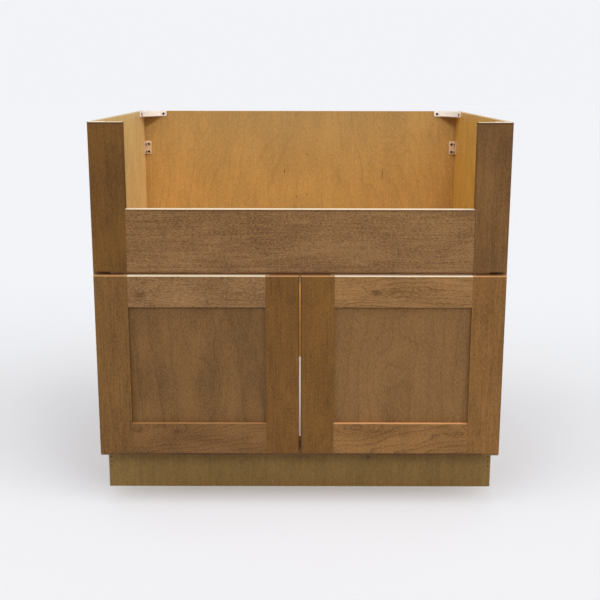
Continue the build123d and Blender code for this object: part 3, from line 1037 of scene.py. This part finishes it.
def deselect_all() -> None:
    """Leaves nothing selected, in object mode."""
    if bpy.context.object and bpy.context.object.mode != "OBJECT":
        bpy.ops.object.mode_set(mode="OBJECT")
    bpy.ops.object.select_all(action="DESELECT")


def pick(piece: bpy.types.Object) -> None:
    """Selects one piece alone and makes it active.

    Args:
        piece: The piece.
    """
    deselect_all()
    piece.select_set(True)
    bpy.context.view_layer.objects.active = piece


def select_faces(piece: bpy.types.Object, toward: Vector, at: float) -> None:
    """In edit mode, selects the faces that look one way and lie at one place along it.

    Args:
        piece: The piece in edit mode.
        toward: The direction they look in.
        at: How far along it they lie.
    """
    bpy.ops.mesh.select_all(action="DESELECT")
    bpy.ops.mesh.select_mode(type="FACE")
    bpy.ops.object.mode_set(mode="OBJECT")
    for polygon in piece.data.polygons:
        looks_there = polygon.normal.dot(toward) > SAME_WAY
        polygon.select = looks_there and abs(polygon.center.dot(toward) - at) < SAME_PLACE
    bpy.ops.object.mode_set(mode="EDIT")


def apply_modifier(piece: bpy.types.Object, kind: str, **settings: object) -> None:
    """Adds a modifier to a piece and applies it.

    Args:
        piece: The piece.
        kind: The modifier's type.
        settings: Its properties.
    """
    pick(piece)
    modifier = piece.modifiers.new(kind.lower(), kind)
    for name, value in settings.items():
        setattr(modifier, name, value)
    bpy.ops.object.modifier_apply(modifier=modifier.name)


def joined(pieces: list[bpy.types.Object], name: str) -> bpy.types.Object:
    """Joins several pieces into one.

    Args:
        pieces: The pieces.
        name: The joined piece's name.

    Returns:
        The joined piece.
    """
    deselect_all()
    for piece in pieces:
        piece.select_set(True)
    bpy.context.view_layer.objects.active = pieces[0]
    bpy.ops.object.join()
    whole = bpy.context.object
    whole.name = whole.data.name = name
    return whole


Place = tuple[Vector, Vector]


def copies_at(model: bpy.types.Object, places: list[Place], name: str) -> bpy.types.Object:
    """Copies a model, which stands on the origin, to every place, and removes the model.

    Args:
        model: The model.
        places: For each copy, where it stands and which way its top points.
        name: The name of all the copies joined.

    Returns:
        All the copies as one piece.
    """
    copies = []
    for number, (seat, outward) in enumerate(places):
        copy = bpy.data.objects.new(f"{name}_{number}", model.data.copy())
        bpy.context.scene.collection.objects.link(copy)
        turn = outward.to_track_quat("Z", "X").to_matrix().to_4x4()
        spin = Matrix.Rotation(math.radians(SCREW_TURN * number % 90), 4, "Z")
        copy.data.transform(Matrix.Translation(seat) @ turn @ spin)
        copies.append(copy)
    bpy.data.objects.remove(model)
    return joined(copies, name)


def cleaned_copy(node: str, name: str) -> bpy.types.Object:
    """A copy of a node, its triangles merged back into whole faces.

    Args:
        node: The node's name.
        name: The copy's name.

    Returns:
        The copy.
    """
    copy = bpy.data.objects.new(name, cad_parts[node].data.copy())
    bpy.context.scene.collection.objects.link(copy)
    copy.data.name = name
    pick(copy)
    bpy.ops.object.mode_set(mode="EDIT")
    bpy.ops.mesh.select_all(action="SELECT")
    bpy.ops.mesh.remove_doubles(threshold=SAME_PLACE)
    bpy.ops.mesh.dissolve_limited(angle_limit=FLAT_ANGLE)
    bpy.ops.object.mode_set(mode="OBJECT")
    return copy


def soften(piece: bpy.types.Object, radius: float) -> None:
    """Rounds the corners of a piece.

    Args:
        piece: The piece.
        radius: How far the rounding reaches in from each corner.
    """
    rounding = {"width": radius, "segments": 2}
    apply_modifier(piece, "BEVEL", limit_method="ANGLE", angle_limit=CORNER_ANGLE, **rounding)
    pick(piece)
    bpy.ops.object.shade_smooth_by_angle(angle=SMOOTH_ANGLE)


@dataclass(frozen=True)
class Fastener:
    """A round-headed screw or a nail, modelled once with its seat at the origin and head up."""

    head_radius: float
    head_height: float
    shank_radius: float
    shank_length: float
    has_recess: bool = True
    sides: int = 20
    tip_share: float = 0.2  # how much of the shank tapers
    tip_width: float = 0.25  # the tip's width as a share of the shank's
    head_round: float = 0.55  # the rim's rounding as a share of the head's height
    recess_length: float = 1.15  # the cross, as shares of the head's radius
    recess_width: float = 0.26
    recess_height: float = 1.2  # of the cutting bars, half of it sunk, as a share of the head's

    def shape(self) -> bpy.types.Object:
        """Models one of them.

        Returns:
            The fastener, standing on the origin.
        """
        deselect_all()
        bpy.ops.mesh.primitive_cylinder_add(
            vertices=self.sides,
            radius=self.head_radius,
            depth=self.head_height,
            location=(0, 0, self.head_height / 2),
        )
        piece = bpy.context.object
        bpy.ops.object.transform_apply(location=True, rotation=True, scale=True)
        bpy.ops.object.mode_set(mode="EDIT")
        select_faces(piece, DOWN, 0.0)
        bpy.ops.mesh.inset(thickness=self.head_radius - self.shank_radius)
        for share in (1 - self.tip_share, self.tip_share):
            down = (0, 0, -self.shank_length * share)
            bpy.ops.mesh.extrude_region_move(TRANSFORM_OT_translate={"value": down})
        bpy.ops.transform.resize(value=(self.tip_width, self.tip_width, 1.0))
        select_faces(piece, UP, self.head_height)
        rounding = self.head_height * self.head_round
        bpy.ops.mesh.bevel(offset=rounding, segments=3, affect="EDGES")
        bpy.ops.object.mode_set(mode="OBJECT")
        if self.has_recess:
            self.cut_recess(piece)
        pick(piece)
        bpy.ops.object.shade_smooth_by_angle(angle=HEAD_SMOOTH_ANGLE)
        return piece

    def cut_recess(self, piece: bpy.types.Object) -> None:
        """Sinks a cross into the head.

        Args:
            piece: The fastener.
        """
        arm, width = self.head_radius * self.recess_length, self.head_radius * self.recess_width
        bars = []
        for length, breadth in ((arm, width), (width, arm)):
            deselect_all()
            bpy.ops.mesh.primitive_cube_add(
                size=1,
                location=(0, 0, self.head_height),
                scale=(length, breadth, self.head_height * self.recess_height),
            )
            bpy.ops.object.transform_apply(location=True, rotation=True, scale=True)
            bars.append(bpy.context.object)
        apply_modifier(bars[0], "BOOLEAN", operation="UNION", solver="EXACT", object=bars[1])
        apply_modifier(piece, "BOOLEAN", operation="DIFFERENCE", solver="EXACT", object=bars[0])
        for bar in bars:
            bpy.data.objects.remove(bar)

    def place_all(self, places: list[Place], name: str) -> bpy.types.Object:
        """Copies the fastener to every place.

        Args:
            places: For each, where its seat is and which way its head points.
            name: The name of all the copies joined.

        Returns:
            All the copies as one piece.
        """
        return copies_at(self.shape(), places, name)


CORNER_SCREW = Fastener(3.3 * MM, 2.0 * MM, 1.6 * MM, 10.5 * MM)
FRONT_SCREW = Fastener(3.3 * MM, 2.0 * MM, 1.6 * MM, 29.5 * MM)
HINGE_SCREW = Fastener(2.9 * MM, 1.2 * MM, 1.6 * MM, 8.5 * MM)
TOE_NAIL = Fastener(1.7 * MM, 0.5 * MM, 0.9 * MM, 33.0 * MM, has_recess=False, sides=14)


@dataclass
class Boss:
    """The round, raised land that a screw sits on in a moulded piece."""

    radius: float = 5.2 * MM
    height: float = 1.0 * MM
    root: float = 1.5 * MM  # how far it reaches down into the piece
    soft: float = 0.5 * MM  # its rim's rounding
    sides: int = 28

    def shape(self) -> bpy.types.Object:
        """Models one of them, its foot's plane at the origin.

        Returns:
            The boss.
        """
        deselect_all()
        bpy.ops.mesh.primitive_cylinder_add(
            vertices=self.sides,
            radius=self.radius,
            depth=self.height + self.root,
            location=(0, 0, (self.height - self.root) / 2),
        )
        boss = bpy.context.object
        bpy.ops.object.transform_apply(location=True, rotation=True, scale=True)
        bpy.ops.object.mode_set(mode="EDIT")
        select_faces(boss, UP, self.height)
        bpy.ops.mesh.bevel(offset=self.soft, segments=2, affect="EDGES")
        bpy.ops.object.mode_set(mode="OBJECT")
        return boss

    def raise_on(self, piece: bpy.types.Object, feet: list[Place]) -> bpy.types.Object:
        """Grows one out of a piece at each place.

        Args:
            piece: The piece.
            feet: For each, a place on the piece's face and the way it faces.

        Returns:
            The piece with its bosses.
        """
        return joined([piece, copies_at(self.shape(), feet, "bosses")], piece.name)


# ---------------------------------------------------------------------------------------------
# The cabinet's parts
# ---------------------------------------------------------------------------------------------
@dataclass
class Finishes:
    """Every finish on the cabinet."""

    patterns: Patterns = field(default_factory=Patterns)
    made: dict[str, bpy.types.Material] = field(default_factory=dict)

    def get(self, finish: StainedWood | VarnishedPly | Moulded) -> bpy.types.Material:
        """The material of a finish, built the first time it is asked for.

        Args:
            finish: The finish.

        Returns:
            Its material.
        """
        if finish.name not in self.made:
            self.made[finish.name] = finish.make(self.patterns)
        return self.made[finish.name]


BLACK_SCREW = PlatedSteel("black_screw", srgb(48, 44, 46), roughness=0.30, metallic=0.5)
ZINC = PlatedSteel("zinc_plated", srgb(196, 194, 188), roughness=0.30)
BRACE_PLASTIC = Moulded("brace_plastic", srgb(250, 236, 222))
CLIP_PLASTIC = Moulded("clip_plastic", srgb(226, 190, 150))
SOFT_BUMPER = Moulded("soft_bumper", srgb(224, 224, 220), roughness=0.35)
NAIL_FILLER = Moulded("nail_filler", srgb(34, 24, 15), roughness=0.8)


@dataclass
class CabinetBox:
    """The plywood box: two sides, back, floor and the toe kick's board."""

    sheet: float = 12.7 * MM
    insides: dict[str, Color] = field(
        default_factory=lambda: {
            # The left inside is lighter than the right as painted light from the right; the floor's
            # near-white is partly its pale finish and partly painted light against the shade in the
            # box.
            "left": srgb(251, 216, 145),
            "right": srgb(231, 181, 88),
            "back": srgb(184, 142, 80),
            "floor": srgb(246, 247, 248),
        }
    )
    side_outside: Color = srgb(121, 89, 54)
    back_outside: Color = srgb(206, 170, 120)
    back_swirls: tuple[Spot, ...] = ((0.232, 0.055, 0.850), (-0.265, 0.050, 0.840))
    # Painted light on the lower back, fading out between these heights.
    back_low_painted_light: Color = (1.22, 1.13, 1.0)
    back_fade: tuple[float, float] = (0.62, 0.90)
    flecks: tuple[Mark, ...] = (
        (-0.0456, 0.704, 0.0028, 0.0085),
        (-0.0105, 0.631, 0.0022, 0.0050),
        (0.0187, 0.637, 0.0032, 0.0040),
        (0.0480, 0.793, 0.0018, 0.0045),
        (0.0187, 0.753, 0.0018, 0.0055),
        (0.3400, 0.677, 0.0023, 0.0036),
        (0.2367, 0.697, 0.0020, 0.0240),
    )

    def dress(self, finishes: Finishes) -> None:
        """Gives the box its finishes.

        Args:
            finishes: The cabinet's finishes.
        """
        for side, board in ((Side.LEFT, 1.5), (Side.RIGHT, 3.5)):
            node = f"{side.word}_side_panel"
            low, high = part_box(node)
            outer = low.x if side is Side.LEFT else high.x
            self.panel(finishes, node, "X", outer, self.side_outside, board)
        back_look = {
            "marks": self.flecks,
            "swirls": self.back_swirls,
            "low_painted_light": self.back_low_painted_light,
            "fade": self.back_fade,
        }
        back_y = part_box("back_panel")[1].y
        self.panel(finishes, "back_panel", "Y", back_y, self.back_outside, 4.2, **back_look)
        floor_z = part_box("floor_panel")[0].z
        self.panel(finishes, "floor_panel", "Z", floor_z, self.back_outside, 6.1, contrast=0.08)
        toe = StainedWood(
            "toe_kick_stain",
            srgb(125, 99, 54),
            Grain.UPRIGHT,
            board=3.3,
            contrast=0.40,
            rings=0.06,
            fibre=0.30,
            fleck=0.26,
            cloud=0.24,
            knots=((0.164, 0.014, 0.078),),
            roughness=0.55,
        )
        dress("toe_kick_board", finishes.get(toe))

    def panel(
        self,
        finishes: Finishes,
        node: str,
        axis: str,
        outer_face: float,
        outside: Color,
        board: float,
        **look: object,
    ) -> None:
        """Finishes one plywood panel.

        Args:
            finishes: The cabinet's finishes.
            node: The panel's node.
            axis: The axis of its thickness.
            outer_face: Where its outer face lies.
            outside: The outer face's colour.
            board: Picks its figure.
            look: What else sets its finish apart, by the finish's fields.
        """
        inside = next(color for word, color in self.insides.items() if node.startswith(word))
        finish = VarnishedPly(
            f"ply_{node}", inside, outside, axis, outer_face, self.sheet, board, **look
        )
        dress(node, finishes.get(finish))


@dataclass
class FrontBoards:
    """Every stained board: face frame, upper front and both doors."""

    strip_seam: float = 35.0 * MM  # outer edge of a front stile to the seam between its strips
    apron_seams: tuple[float, float] = (0.0733, 0.600)  # how high up the apron they run, as shares
    first_board: float = 9.0  # picks the figure of the first door board
    board_step: float = 3.1  # between the figures of one door board and the next

    def face_frame(self, finishes: Finishes) -> None:
        """Finishes the frame behind the fronts. Its middle rail is only varnished.

        Args:
            finishes: The cabinet's finishes.
        """
        # The stiles' stain is lighter than the doors' to brighten them in the shaded gap behind the
        # doors: painted light.
        upright = StainedWood(
            "frame_stile_stain", srgb(134, 98, 60), Grain.UPRIGHT, board=1.4, pale_top=0.9
        )
        bottom = StainedWood("frame_rail_stain", srgb(108, 76, 44), Grain.ACROSS, board=2.9)
        middle = StainedWood(
            "frame_rail_varnish", srgb(232, 180, 126), Grain.ACROSS, board=4.4, contrast=0.2
        )
        for side in Side:
            dress(f"frame_{side.word}_stile", finishes.get(upright))
        dress("frame_bottom_rail", finishes.get(bottom))
        dress("frame_mid_rail", finishes.get(middle))

    def upper_front(self, finishes: Finishes) -> None:
        """Finishes the stiles and the apron round the sink opening.

        Args:
            finishes: The cabinet's finishes.
        """
        colors = {Side.LEFT: srgb(101, 68, 24), Side.RIGHT: srgb(108, 76, 39)}
        for side in Side:
            node = f"front_{side.word}_stile"
            low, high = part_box(node)
            seam = low.x + self.strip_seam if side is Side.LEFT else high.x - self.strip_seam
            finish = StainedWood(
                f"front_stile_stain_{side.word}",
                colors[side],
                Grain.UPRIGHT,
                board=5.0 + side.value,
                contrast=0.36,
                rings=0.16,
                fibre=0.40,
                pale_top=1.0,
                dark_edge=high.z,
                seams=(seam,),
                fleck=0.34,
            )
            dress(node, finishes.get(finish))
        low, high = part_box("apron_panel")
        seams = tuple(low.z + share * (high.z - low.z) for share in self.apron_seams)
        apron = StainedWood(
            "apron_stain",
            srgb(125, 92, 57),
            Grain.ACROSS,
            board=7.7,
            contrast=0.54,
            rings=0.12,
            ring_count=90.0,
            fibre=0.34,
            fleck=0.46,
            cloud=0.42,
            pale_top=1.0,
            dark_edge=high.z,
            seams=seams,
            strip_tone=0.03,
        )
        dress("apron_panel", finishes.get(apron))

    def doors(self, finishes: Finishes) -> None:
        """Finishes the boards and panels of the doors, each with the figure it has in the photo.

        Args:
            finishes: The cabinet's finishes.
        """
        # Tan tops: raw end grain on the stiles, painted highlight on the bottom rails' inner top
        # faces.
        tan_top = {"top_light": TAN_RAW_AND_LIT_WOOD, "top_dark": TAN_RAW_AND_LIT_WOOD_DARK}
        stile = {"grain": Grain.UPRIGHT, "contrast": 0.42, "rings": 0.14, "fibre": 0.42}
        stile |= {"cloud": 0.36, "pale_top": 0.7} | tan_top
        rail = {"grain": Grain.ACROSS, "contrast": 0.54, "ring_count": 110.0, "fibre": 0.22}
        panel = {"grain": Grain.UPRIGHT, "contrast": 0.38, "rings": 0.22, "ring_count": 34.0}
        panel |= {"fibre": 0.10, "fleck": 0.36, "cloud": 0.56, "knot_dark": 0.0}
        looks: dict[str, dict[str, object]] = {
            "left_door_outer_stile": stile | {"color": srgb(107, 75, 35)},
            "left_door_inner_stile": stile
            | {
                "color": srgb(107, 72, 28),
                # painted shade along the edge that meets the other door
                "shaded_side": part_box("left_door_inner_stile")[1].x,
                "rings": 0.20,
                "knots": ((-0.024, 0.012, 0.233),),
                "knot_dark": 0.6,
            },
            "left_door_top_rail": rail
            | {
                "color": srgb(125, 93, 58),
                "rings": 0.24,
                "fleck": 0.38,
                "pale_top": 1.0,
                "knots": ((0.500, 0.020, -0.352),),
                "knot_dark": 0.6,
            },
            "left_door_bottom_rail": rail
            | tan_top
            | {
                "color": srgb(108, 76, 40),
                "rings": 0.34,
                "fleck": 0.36,
                "pale_top": 0.4,
                "knots": ((0.184, 0.022, -0.366), (0.178, 0.018, -0.278)),
                "knot_dark": 0.55,
            },
            "left_door_panel": panel
            | {"color": srgb(110, 79, 42), "knots": ((-0.212, 0.040, 0.300), (-0.200, 0.025, 0.425))},
            "right_door_outer_stile": stile | {"color": srgb(120, 84, 41)},
            "right_door_inner_stile": stile
            | {
                "color": srgb(109, 74, 28),
                # painted shade along the edge that meets the other door
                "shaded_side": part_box("right_door_inner_stile")[0].x,
                "knots": ((0.062, 0.024, 0.249),),
                "knot_dark": 0.5,
            },
            "right_door_top_rail": rail
            | {
                "color": srgb(131, 96, 56),
                "rings": 0.42,
                "fleck": 0.30,
                "pale_top": 1.0,
                "knots": ((0.505, 0.016, 0.166),),
            },
            "right_door_bottom_rail": rail
            | tan_top
            | {
                "color": srgb(127, 91, 49),
                "rings": 0.40,
                "fleck": 0.32,
                "pale_top": 1.0,
                "knots": ((0.187, 0.020, 0.132), (0.176, 0.010, 0.366)),
                "knot_dark": 0.25,
            },
            "right_door_panel": panel
            | {
                "color": srgb(120, 87, 49),
                "cloud": 0.34,
                "knots": ((0.230, 0.025, 0.430), (0.190, 0.040, 0.310)),
            },
        }
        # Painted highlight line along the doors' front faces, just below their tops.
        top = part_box("left_door_top_rail")[1].z
        for number, (node, look) in enumerate(looks.items()):
            board = self.first_board + self.board_step * number
            finish = StainedWood(f"{node}_stain", board=board, highlight_edge=top, **look)
            dress(node, finishes.get(finish))


@dataclass
class CornerPieces:
    """The moulded braces and clips in the rear corners, with their screws."""

    brace_soft: float = 0.5 * MM  # rounding of its corners
    brace_rim: float = 2.6 * MM  # the border left round the hollow in its slanting face
    brace_hollow: float = 1.2 * MM  # depth of that hollow
    brace_tab: float = 17.0 * MM  # width of the tab at each end
    wall: float = 3.0 * MM  # thickness of a clip's legs and a brace's tabs
    clip_soft: float = 0.5 * MM  # rounding of its corners
    clip_spacing: float = 21.6 * MM  # between the two screws on a leg
    clip_reach: float = 11.5 * MM  # from the corner to the screws on each leg
    boss: Boss = field(default_factory=Boss)

    def corner(self, node: str, side: Side) -> tuple[float, float, float, float]:
        """Where a corner piece sits.

        Args:
            node: Its node.
            side: Its side of the cabinet.

        Returns:
            The side panel's face in X, the way in from there, the back's face in Y, and the
            piece's middle in Z.
        """
        low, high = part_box(node)
        panel_x = low.x if side is Side.LEFT else high.x
        return panel_x, -side.value, high.y, (low.z + high.z) / 2

    def brace_feet(self, side: Side) -> list[Place]:
        """The places on a brace's end tabs where its screws go.

        Args:
            side: Its side of the cabinet.

        Returns:
            For each screw, its place and the way its head points.
        """
        node = f"{side.word}_corner_brace"
        panel_x, inward, back_y, z = self.corner(node, side)
        low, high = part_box(node)
        leg = high.x - low.x - self.brace_tab / 2
        return [
            (Vector((panel_x + inward * self.wall, back_y - leg, z)), Vector((inward, 0, 0))),
            (Vector((panel_x + inward * leg, back_y - self.wall, z)), FORWARD),
        ]

    def clip_feet(self, side: Side, level: str) -> list[Place]:
        """The places on a clip's legs where its screws go.

        Args:
            side: Its side of the cabinet.
            level: Whether it is the upper or the lower one.

        Returns:
            For each screw, its place and the way its head points.
        """
        panel_x, inward, back_y, middle = self.corner(f"{side.word}_{level}_clip", side)
        feet = []
        for z in (middle - self.clip_spacing / 2, middle + self.clip_spacing / 2):
            on_side = Vector((panel_x + inward * self.wall, back_y - self.clip_reach, z))
            on_back = Vector((panel_x + inward * self.clip_reach, back_y - self.wall, z))
            feet += [(on_side, Vector((inward, 0, 0))), (on_back, FORWARD)]
        return feet

    def brace(self, side: Side) -> bpy.types.Object:
        """Models a brace, its slanting face hollowed between an upper and a lower rim.

        Args:
            side: Its side of the cabinet.

        Returns:
            The brace.
        """
        node = f"{side.word}_corner_brace"
        piece = cleaned_copy(node, f"{node}_moulded")
        slant = Vector((-side.value, -1, 0)).normalized()
        slanting = [face for face in piece.data.polygons if face.normal.dot(slant) > SAME_WAY]
        far = max(face.center.dot(slant) for face in slanting)
        pick(piece)
        bpy.ops.object.mode_set(mode="EDIT")
        select_faces(piece, slant, far)
        bpy.ops.mesh.inset(thickness=self.brace_rim)
        sunk = tuple(slant * -self.brace_hollow)
        bpy.ops.mesh.extrude_region_move(TRANSFORM_OT_translate={"value": sunk})
        bpy.ops.object.mode_set(mode="OBJECT")
        soften(piece, self.brace_soft)
        return piece

    def clip(self, side: Side, level: str) -> bpy.types.Object:
        """Models a clip, with a raised land under each screw.

        Args:
            side: Its side of the cabinet.
            level: Whether it is the upper or the lower one.

        Returns:
            The clip.
        """
        node = f"{side.word}_{level}_clip"
        piece = cleaned_copy(node, f"{node}_moulded")
        soften(piece, self.clip_soft)
        piece = self.boss.raise_on(piece, self.clip_feet(side, level))
        bpy.ops.object.shade_smooth_by_angle(angle=SMOOTH_ANGLE)
        return piece

    def build(self, finishes: Finishes) -> list[bpy.types.Object]:
        """Models the corner pieces and their screws.

        Args:
            finishes: The cabinet's finishes.

        Returns:
            The new pieces.
        """
        made = []
        brace_seats, clip_seats = [], []
        for side in Side:
            brace = self.brace(side)
            node = f"{side.word}_corner_brace"
            finish_piece(brace, "cabinet", finishes.get(BRACE_PLASTIC), node)
            brace_seats += self.brace_feet(side)
            made.append(brace)
            for level in ("upper", "lower"):
                clip = self.clip(side, level)
                node = f"{side.word}_{level}_clip"
                finish_piece(clip, "cabinet", finishes.get(CLIP_PLASTIC), node)
                clip_seats += [
                    (foot + outward * self.boss.height, outward)
                    for foot, outward in self.clip_feet(side, level)
                ]
                made.append(clip)
        for name, node, seats in (
            ("brace_screw_set", "brace_screws", brace_seats),
            ("clip_screw_set", "clip_screws", clip_seats),
        ):
            piece = CORNER_SCREW.place_all(seats, name)
            finish_piece(piece, "cabinet", finishes.get(BLACK_SCREW), node)
            made.append(piece)
        return made


@dataclass
class FrameFasteners:
    """The screws behind the upper front and the nails of the toe kick."""

    screw_xs: tuple[float, ...] = (-0.300, -0.110, 0.110, 0.300)
    end_margin: float = 55.0 * MM  # front stiles' ends to their screws
    nail_zs: tuple[float, ...] = (0.052, 0.064, 0.076)
    nail_inset: float = 6.35 * MM  # from the toe kick's ends: the middle of a side's thickness
    nail_sunk: float = 0.4 * MM

    def build(self, finishes: Finishes) -> list[bpy.types.Object]:
        """Models them.

        Args:
            finishes: The cabinet's finishes.

        Returns:
            The new pieces.
        """
        screws = FRONT_SCREW.place_all(self.screw_places(), "front_screw_set")
        finish_piece(screws, "cabinet", finishes.get(BLACK_SCREW), "front_screws")
        nails = TOE_NAIL.place_all(self.nail_places(), "toe_nail_set")
        finish_piece(nails, "cabinet", finishes.get(NAIL_FILLER), "toe_kick_nails")
        return [screws, nails]

    def screw_places(self) -> list[Place]:
        """The places of the upper front's screws: a row in the apron, two in each stile.

        Returns:
            For each screw, its place and the way its head points.
        """
        screws_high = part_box("front_screws")[1]
        seat_y = screws_high.y - FRONT_SCREW.head_height
        outer_x = screws_high.x - FRONT_SCREW.head_radius
        stile_low, stile_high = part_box("front_right_stile")
        apron_z = (stile_low.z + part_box("frame_mid_rail")[1].z) / 2
        seats = [(x, apron_z) for x in self.screw_xs]
        for x in (-outer_x, outer_x):
            seats += [(x, stile_low.z + self.end_margin), (x, stile_high.z - self.end_margin)]
        return [(Vector((x, seat_y, z)), BACKWARD) for x, z in seats]

    def nail_places(self) -> list[Place]:
        """The places of the toe kick's nails, a column at each end.

        Returns:
            For each nail, its place and the way its head points.
        """
        low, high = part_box("toe_kick_board")
        x, y = high.x - self.nail_inset, low.y + self.nail_sunk
        return [(Vector((end, y, z)), FORWARD) for end in (-x, x) for z in self.nail_zs]


@dataclass
class Hinges:
    """The concealed hinges: cups, pins and arms keep the frame's shapes, and their screws are
    modelled again."""

    cup_spacing: float = 45.0 * MM  # between the two screws of a cup
    arm_spacing: float = 26.0 * MM  # between the two screws of an arm
    arm_seat: float = 7.5 * MM  # from an arm's back end to its screws

    def build(self, finishes: Finishes) -> list[bpy.types.Object]:
        """Dresses the hinges and models their screws.

        Args:
            finishes: The cabinet's finishes.

        Returns:
            The new pieces.
        """
        zinc = finishes.get(ZINC)
        made = []
        arm_places = []
        for side in Side:
            dress(f"{side.word}_hinge_cups", zinc)
            dress(f"{side.word}_hinge_pins", zinc)
            dress(f"{side.word}_door_bumpers", finishes.get(SOFT_BUMPER))
            cup_places = []
            for level in ("lower", "upper"):
                dress(f"{side.word}_{level}_hinge_arm", zinc)
                cup_places += self.cup_places(side, level)
                arm_places += self.arm_places(side, level)
            cup_screws = HINGE_SCREW.place_all(cup_places, f"{side.word}_cup_screw_set")
            node = f"{side.word}_hinge_cup_screws"
            finish_piece(cup_screws, f"{side.word}_door", zinc, node)
            made.append(cup_screws)
        arm_screws = HINGE_SCREW.place_all(arm_places, "arm_screw_set")
        finish_piece(arm_screws, "cabinet", zinc, "hinge_arm_screws")
        made.append(arm_screws)
        return made

    def cup_places(self, side: Side, level: str) -> list[Place]:
        """The places of one cup's two screws, seated on its flange.

        Args:
            side: The hinge's side of the cabinet.
            level: Whether it is the upper or the lower one.

        Returns:
            For each screw, its place and the way its head points.
        """
        low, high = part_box(f"{side.word}_hinge_cup_screws")
        x, y = (low.x + high.x) / 2, high.y - HINGE_SCREW.head_height
        heights = self.heights(side, level, self.cup_spacing)
        return [(Vector((x, y, z)), BACKWARD) for z in heights]

    def arm_places(self, side: Side, level: str) -> list[Place]:
        """The places of one arm's two screws, on the face frame's inner edge.

        Args:
            side: The hinge's side of the cabinet.
            level: Whether it is the upper or the lower one.

        Returns:
            For each screw, its place and the way its head points.
        """
        low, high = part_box(f"{side.word}_{level}_hinge_arm")
        x = high.x if side is Side.LEFT else low.x
        inward = Vector((-side.value, 0, 0))
        heights = self.heights(side, level, self.arm_spacing)
        return [(Vector((x, high.y - self.arm_seat, z)), inward) for z in heights]

    def heights(self, side: Side, level: str, spacing: float) -> tuple[float, float]:
        """The heights of two screws that sit evenly about a hinge's middle.

        Args:
            side: The hinge's side of the cabinet.
            level: Whether it is the upper or the lower one.
            spacing: The distance between them.

        Returns:
            The lower and the upper height.
        """
        low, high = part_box(f"{side.word}_{level}_hinge_arm")
        middle = (low.z + high.z) / 2
        return middle - spacing / 2, middle + spacing / 2


# ---------------------------------------------------------------------------------------------
# The studio
# ---------------------------------------------------------------------------------------------
@dataclass(frozen=True)
class Lamp:
    """A soft lamp, far off. Its angles are in degrees."""

    name: str
    azimuth: float  # from straight in front, to the right
    elevation: float
    strength: float
    softness: float

    def hang(self) -> None:
        """Adds the lamp to the scene."""
        lamp = bpy.data.lights.new(self.name, "SUN")
        lamp.energy = self.strength
        lamp.angle = math.radians(self.softness)
        holder = bpy.data.objects.new(self.name, lamp)
        around, up = math.radians(self.azimuth), math.radians(self.elevation)
        toward = Vector(
            (math.sin(around) * math.cos(up), -math.cos(around) * math.cos(up), math.sin(up))
        )
        holder.rotation_euler = toward.to_track_quat("Z", "Y").to_euler()
        bpy.context.scene.collection.objects.link(holder)


LAMPS = (
    Lamp("front", azimuth=1, elevation=34, strength=1.15, softness=14),
    Lamp("high_right", azimuth=55, elevation=42, strength=0.95, softness=50),
    Lamp("high_left", azimuth=-60, elevation=42, strength=0.60, softness=50),
    Lamp("overhead", azimuth=0, elevation=80, strength=0.80, softness=50),
)


@dataclass
class Studio:
    """The pale floor, the soft lamps and the camera at the photograph's view."""

    backdrop: Color = srgb(242, 243, 247)
    sky_level: float = 0.22
    camera_place: tuple[float, float, float] = (-0.0003, -2.0853, 0.9679)
    camera_pitch: float = 0.1781  # radians below level
    camera_roll: float = 0.0016
    focal_pixels: float = 831.4
    sensor_width: float = 36.0
    shift: float = -0.12
    floor_size: float = 60.0

    def build(self) -> None:
        """Sets the whole studio up."""
        self.lay_floor()
        self.light()
        self.place_camera()
        bpy.context.scene.view_settings.view_transform = "Standard"

    def lay_floor(self) -> None:
        """Lays the floor, wide enough to reach the horizon."""
        deselect_all()
        bpy.ops.mesh.primitive_plane_add(size=self.floor_size, location=(0, 0, 0))
        floor = bpy.context.object
        floor.name = "floor"
        material, w, shader = start_material("pale_floor")
        w.feed(shader.inputs["Base Color"], self.backdrop)
        w.feed(shader.inputs["Roughness"], 1.0)
        w.feed(shader.inputs["Specular IOR Level"], 0.0)
        floor.data.materials.append(material)

    def light(self) -> None:
        """Hangs the lamps and sets the sky, which the camera sees as the plain backdrop."""
        for lamp in LAMPS:
            lamp.hang()
        world = bpy.data.worlds.new("studio_sky")
        world.use_nodes = True
        bpy.context.scene.world = world
        w = Wiring(world.node_tree)
        background = next(n for n in world.node_tree.nodes if n.type == "BACKGROUND")
        path = w.node("ShaderNodeLightPath")
        seen = w.math(
            "MAXIMUM",
            path.outputs["Is Camera Ray"],
            w.math("MAXIMUM", path.outputs["Is Glossy Ray"], path.outputs["Is Transmission Ray"]),
        )
        sky = (self.sky_level,) * 3
        w.feed(background.inputs["Color"], w.mix(seen, sky, self.backdrop))
        w.feed(background.inputs["Strength"], 1.0)

    def place_camera(self) -> None:
        """Places the camera where the photograph was taken from."""
        data = bpy.data.cameras.new("photograph_view")
        data.sensor_width = self.sensor_width
        data.lens = self.focal_pixels / PHOTO_PIXELS * data.sensor_width
        data.shift_y = self.shift
        camera = bpy.data.objects.new("photograph_view", data)
        bpy.context.scene.collection.objects.link(camera)
        turn = Matrix.Rotation(math.pi / 2 - self.camera_pitch, 4, "X") @ Matrix.Rotation(
            self.camera_roll, 4, "Z"
        )
        camera.matrix_world = Matrix.Translation(self.camera_place) @ turn
        bpy.context.scene.camera = camera


def main() -> None:
    """Builds the scene, part by part."""
    logging.basicConfig(level=logging.INFO, format="%(message)s")
    Studio().build()
    finishes = Finishes()
    CabinetBox().dress(finishes)
    boards = FrontBoards()
    boards.face_frame(finishes)
    boards.upper_front(finishes)
    boards.doors(finishes)
    for part in (CornerPieces(), FrameFasteners(), Hinges()):
        for piece in part.build(finishes):
            LOG.info("%s: %d faces", piece.name, len(piece.data.polygons))


if __name__ == "__main__":
    main()
